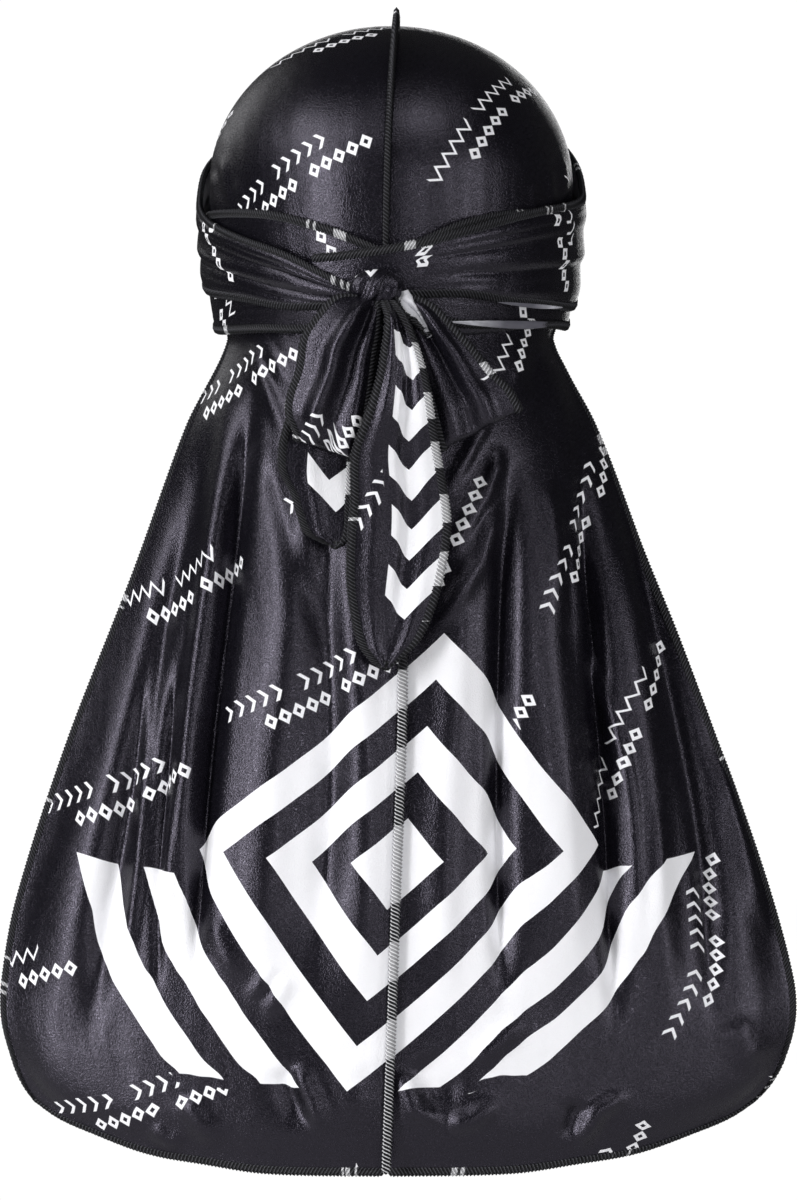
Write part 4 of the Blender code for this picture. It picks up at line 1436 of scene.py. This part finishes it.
left, right, rise = ribbon_edges(TURNED_BACK, np.linspace(0, 1, PATCH_ROWS + 1))
across = np.linspace(0, 1, PATCH_COLUMNS + 1)[None, :, None]
patch = left[:, None] * (1 - across) + right[:, None] * across
outer_ply = loop_grids["loop_right"][: OUTER_ROWS + 1].reshape(-1, 3)
gaps = patch[:, :, None, ::2] - outer_ply[None, None, :, ::2]
nearest = (gaps**2).sum(-1).argmin(-1)
wave = PATCH_WAVE * np.sin(across[..., 0] * 9 + np.linspace(0, 5, PATCH_ROWS + 1)[:, None])
patch[..., 1] = outer_ply[nearest, 1] - PATCH_STANDOFF - wave
width, length = flat_lengths(patch)
maps = flat_maps(width, -length, 30)
cloth("loop_right_turned_back", patch, maps, [satin_reverse, satin_reverse], turned=True)
hem("hem_loop_right_turned_back", patch, maps, first_column, tie_thread, turned=True)

# %% [markdown]
# ### Free ends
#
# The short end shows under the left loop. The long one hangs over both loops down the middle, with one
# deep pleat along it, where its left half stands over its right half.

# %% The free ends
LEFT_END = (
    # left x, left z, right x, right z, rise
    (-13.0, 10.5, -9.0, 10.3, 0.0),
    (-31.3, -9.2, -12.4, -11.3, 0.0),
    (-39.1, -25.1, -15.4, -28.5, 0.0),
    (-44.2, -40.5, -16.7, -50.0, 0.0),
    (-47.2, -52.1, -16.7, -62.9, 0.0),
    (-47.2, -62.9, -17.1, -72.4, 0.0),
    (-42.5, -72.4, -17.6, -80.1, 0.0),
    (-39.9, -81.0, -17.6, -86.1, 0.0),
    (-36.5, -89.6, -18.4, -91.3, 0.0),
    (-29.6, -93.9, -20.1, -94.3, 0.0),
    (-25.0, -95.6, -22.0, -95.8, 0.0),
)
CENTRE_END = (
    # left x, left z, right x, right z, rise
    (-4.0, 10.4, 1.0, 10.4, 0.48),
    (-1.4, 1.6, 6.4, 1.6, 0.90),
    (-3.0, -11.3, 11.7, -12.2, 1.00),
    (-5.1, -23.3, 15.1, -24.6, 1.00),
    (-9.8, -38.8, 17.7, -39.7, 0.90),
    (-15.9, -56.4, 20.3, -56.4, 0.60),
    (-16.3, -75.8, 23.7, -75.8, 0.32),
    (-17.6, -93.0, 24.6, -89.6, 0.16),
    (-18.0, -110.2, 21.6, -108.9, 0.08),
    (-16.3, -124.0, 17.3, -124.0, 0.05),
    (-13.3, -136.9, 11.7, -136.0, 0.05),
    (-8.1, -144.6, 4.8, -142.9, 0.05),
    (-3.4, -147.8, -0.8, -147.8, 0.05),
)
END_ROWS = 150
END_COLUMNS = 40
CENTRE_END_RISE = 0.0170
PLEAT_EDGE = 0.12
PLEAT_FADE = 0.25
END_ROOT_BLEND = 0.1


def end_grid(rows, lift, creases, step):
    """Points of a free end. A step is a pleat along it: how far it goes, its place and its height."""
    share = np.linspace(0, 1, END_ROWS + 1)
    left, right, rise = ribbon_edges(rows, share)
    across = np.linspace(0, 1, END_COLUMNS + 1)[None, :]
    points = left[:, None] * (1 - across[..., None]) + right[:, None] * across[..., None]
    reach, place, height = step
    over = smooth((place + PLEAT_EDGE / 2 - across) / PLEAT_EDGE)
    over = over * smooth((reach - share) / PLEAT_FADE)[:, None]
    past_root = smooth(share / END_ROOT_BLEND)[:, None]
    depth = CLOTH + (lift * rise)[:, None] + height * over * past_root
    for start, end, half, tall in creases:
        line = start + (end - start) * share[:, None]
        depth = depth + tall * np.exp(-(((across - line) / half) ** 2)) * past_root
    points[..., 1] = rest_depth(points[..., 2]) - depth
    return points


for name, rows, lift, creases, step, angle, shift, lower in (
    (
        "end_left",
        LEFT_END,
        0.0,
        ((0.5, 0.35, 0.12, 0.0008),),
        (0.5, 0.5, 0.0),
        50,
        (0.02, 0.03),
        0.050,
    ),
    (
        "end_centre",
        CENTRE_END,
        CENTRE_END_RISE,
        ((0.24, 0.27, 0.11, 0.0018), (0.85, 0.78, 0.10, 0.0014)),
        (0.85, 0.52, 0.0034),
        55,
        (0.03, 0.01),
        0.0,
    ),
):
    grid = end_grid(rows, lift, creases, step)
    width, length = flat_lengths(grid)
    width = width - width[:, -1:] / 2
    maps = flat_maps(width, -length - lower, angle, shift)
    piece = cloth(f"{name}_cloth", grid, maps, [end_satin, satin_reverse], turned=True, outwards=0.0)
    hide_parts(name)
    border = hem(f"hem_{name}", grid, maps, round_the_tip, end_thread, turned=True, outwards=0.0)

# %% [markdown]
# ## Floor, light and camera
#
# The photograph is a plain studio picture on white. Satin shows the shape of what it mirrors, so the
# lights are soft boxes of chosen sizes: tall ones low at the left, in front and at the right draw the
# long gleams on the drapes, those above shape the crown, and weak ones on the far side keep it from
# going black. The world is white to the camera and nearly dark to the cloth, or its even light would
# flatten the folds. The camera stands level, three metres behind the cape, with a long lens.

# %% Floor and surroundings
FLOOR_LEVEL = -0.520
FLOOR_RADIUS = 1.45
FLOOR_PALENESS = 0.9
FLOOR_ROUGHNESS = 0.9
WORLD_GLOW = 0.035
WORLD_TO_THE_CAMERA = 0.985

bm = bmesh.new()
bmesh.ops.create_circle(bm, cap_ends=True, segments=128, radius=FLOOR_RADIUS)
bmesh.ops.translate(bm, verts=bm.verts, vec=(0, 0, FLOOR_LEVEL))
floor_mesh = bpy.data.meshes.new("floor")
bm.to_mesh(floor_mesh)
bm.free()
floor = bpy.data.objects.new("floor", floor_mesh)
bpy.context.scene.collection.objects.link(floor)
floor_finish, floor_shader, start = new_finish("pale_floor")
floor_shader.inputs["Base Color"].default_value = (FLOOR_PALENESS, FLOOR_PALENESS, FLOOR_PALENESS, 1)
floor_shader.inputs["Roughness"].default_value = FLOOR_ROUGHNESS
floor_mesh.materials.append(floor_finish)

world = bpy.data.worlds.new("studio")
bpy.context.scene.world = world
world.use_nodes = True
sky = world.node_tree.nodes["Background"]
start = Value(world.node_tree, sky.outputs[0])
seen = start.of("ShaderNodeLightPath", {}, {}, output=0)
strength = WORLD_GLOW + seen * WORLD_TO_THE_CAMERA
strength.feed(sky, "Strength")
sky.inputs["Color"].default_value = (1, 1, 1, 1)
bpy.context.scene.view_settings.view_transform = "Standard"
print(f"floor {-FLOOR_LEVEL * 1000:.0f} mm below the origin")

# %% Lights
LIGHTS_AIM = np.array((0.0, -0.10, -0.08))


def softbox(name, place, size, brightness):
    """A rectangular soft light that faces the durag. Its power follows from its brightness and its size."""
    light = bpy.data.lights.new(name, "AREA")
    light.shape = "RECTANGLE"
    light.size, light.size_y = size
    light.energy = brightness * math.pi * size[0] * size[1]
    holder = bpy.data.objects.new(name, light)
    away = LIGHTS_AIM - np.array(place)
    turn = math.atan2(-away[0], away[1])
    tilt = math.atan2(away[2], math.hypot(away[0], away[1]))
    holder.location = place
    holder.rotation_euler = (math.pi / 2 + tilt, 0, turn)
    holder.visible_camera = False
    bpy.context.scene.collection.objects.link(holder)
    print(f"{name}: {light.energy:.1f} W")


softbox("key_on_the_crown", (-1.90, -0.65, 1.50), (1.2, 1.0), 6.0)
softbox("key_over_the_seam", (-1.25, -1.70, 1.85), (1.0, 0.7), 4.5)
softbox("rim_from_behind", (-1.40, 2.10, 1.00), (1.0, 1.0), 1.0)
softbox("key_at_the_left", (-2.15, -1.70, 0.20), (0.5, 1.7), 19.0)
softbox("fill_in_front", (1.10, -3.05, 0.05), (0.4, 1.1), 9.5)
softbox("fill_at_the_right", (2.20, -1.40, 0.10), (0.6, 1.3), 6.5)
softbox("overhead", (0.80, -1.40, 2.20), (1.3, 1.0), 4.2)
softbox("fill_on_the_far_side", (0.30, 3.00, 0.20), (1.2, 1.4), 2.0)

# %% Camera
PHOTO_HEIGHT = 1200
MM_PER_PIXEL = 0.432
SENSOR = 36.0
CAMERA_DISTANCE = 3.0
CAMERA_PLANE = -0.095
CAMERA_ASIDE = 0.0035
CAMERA_LEVEL = -0.1188

camera_data = bpy.data.cameras.new("camera")
camera_data.sensor_fit = "VERTICAL"
camera_data.sensor_height = SENSOR
camera_data.lens = SENSOR * CAMERA_DISTANCE / (PHOTO_HEIGHT * MM_PER_PIXEL / 1000)
camera = bpy.data.objects.new("camera", camera_data)
camera.location = (CAMERA_ASIDE, CAMERA_PLANE - CAMERA_DISTANCE, CAMERA_LEVEL)
camera.rotation_euler = (math.pi / 2, 0, 0)
bpy.context.scene.collection.objects.link(camera)
bpy.context.scene.camera = camera
print(f"lens {camera_data.lens:.0f} mm")
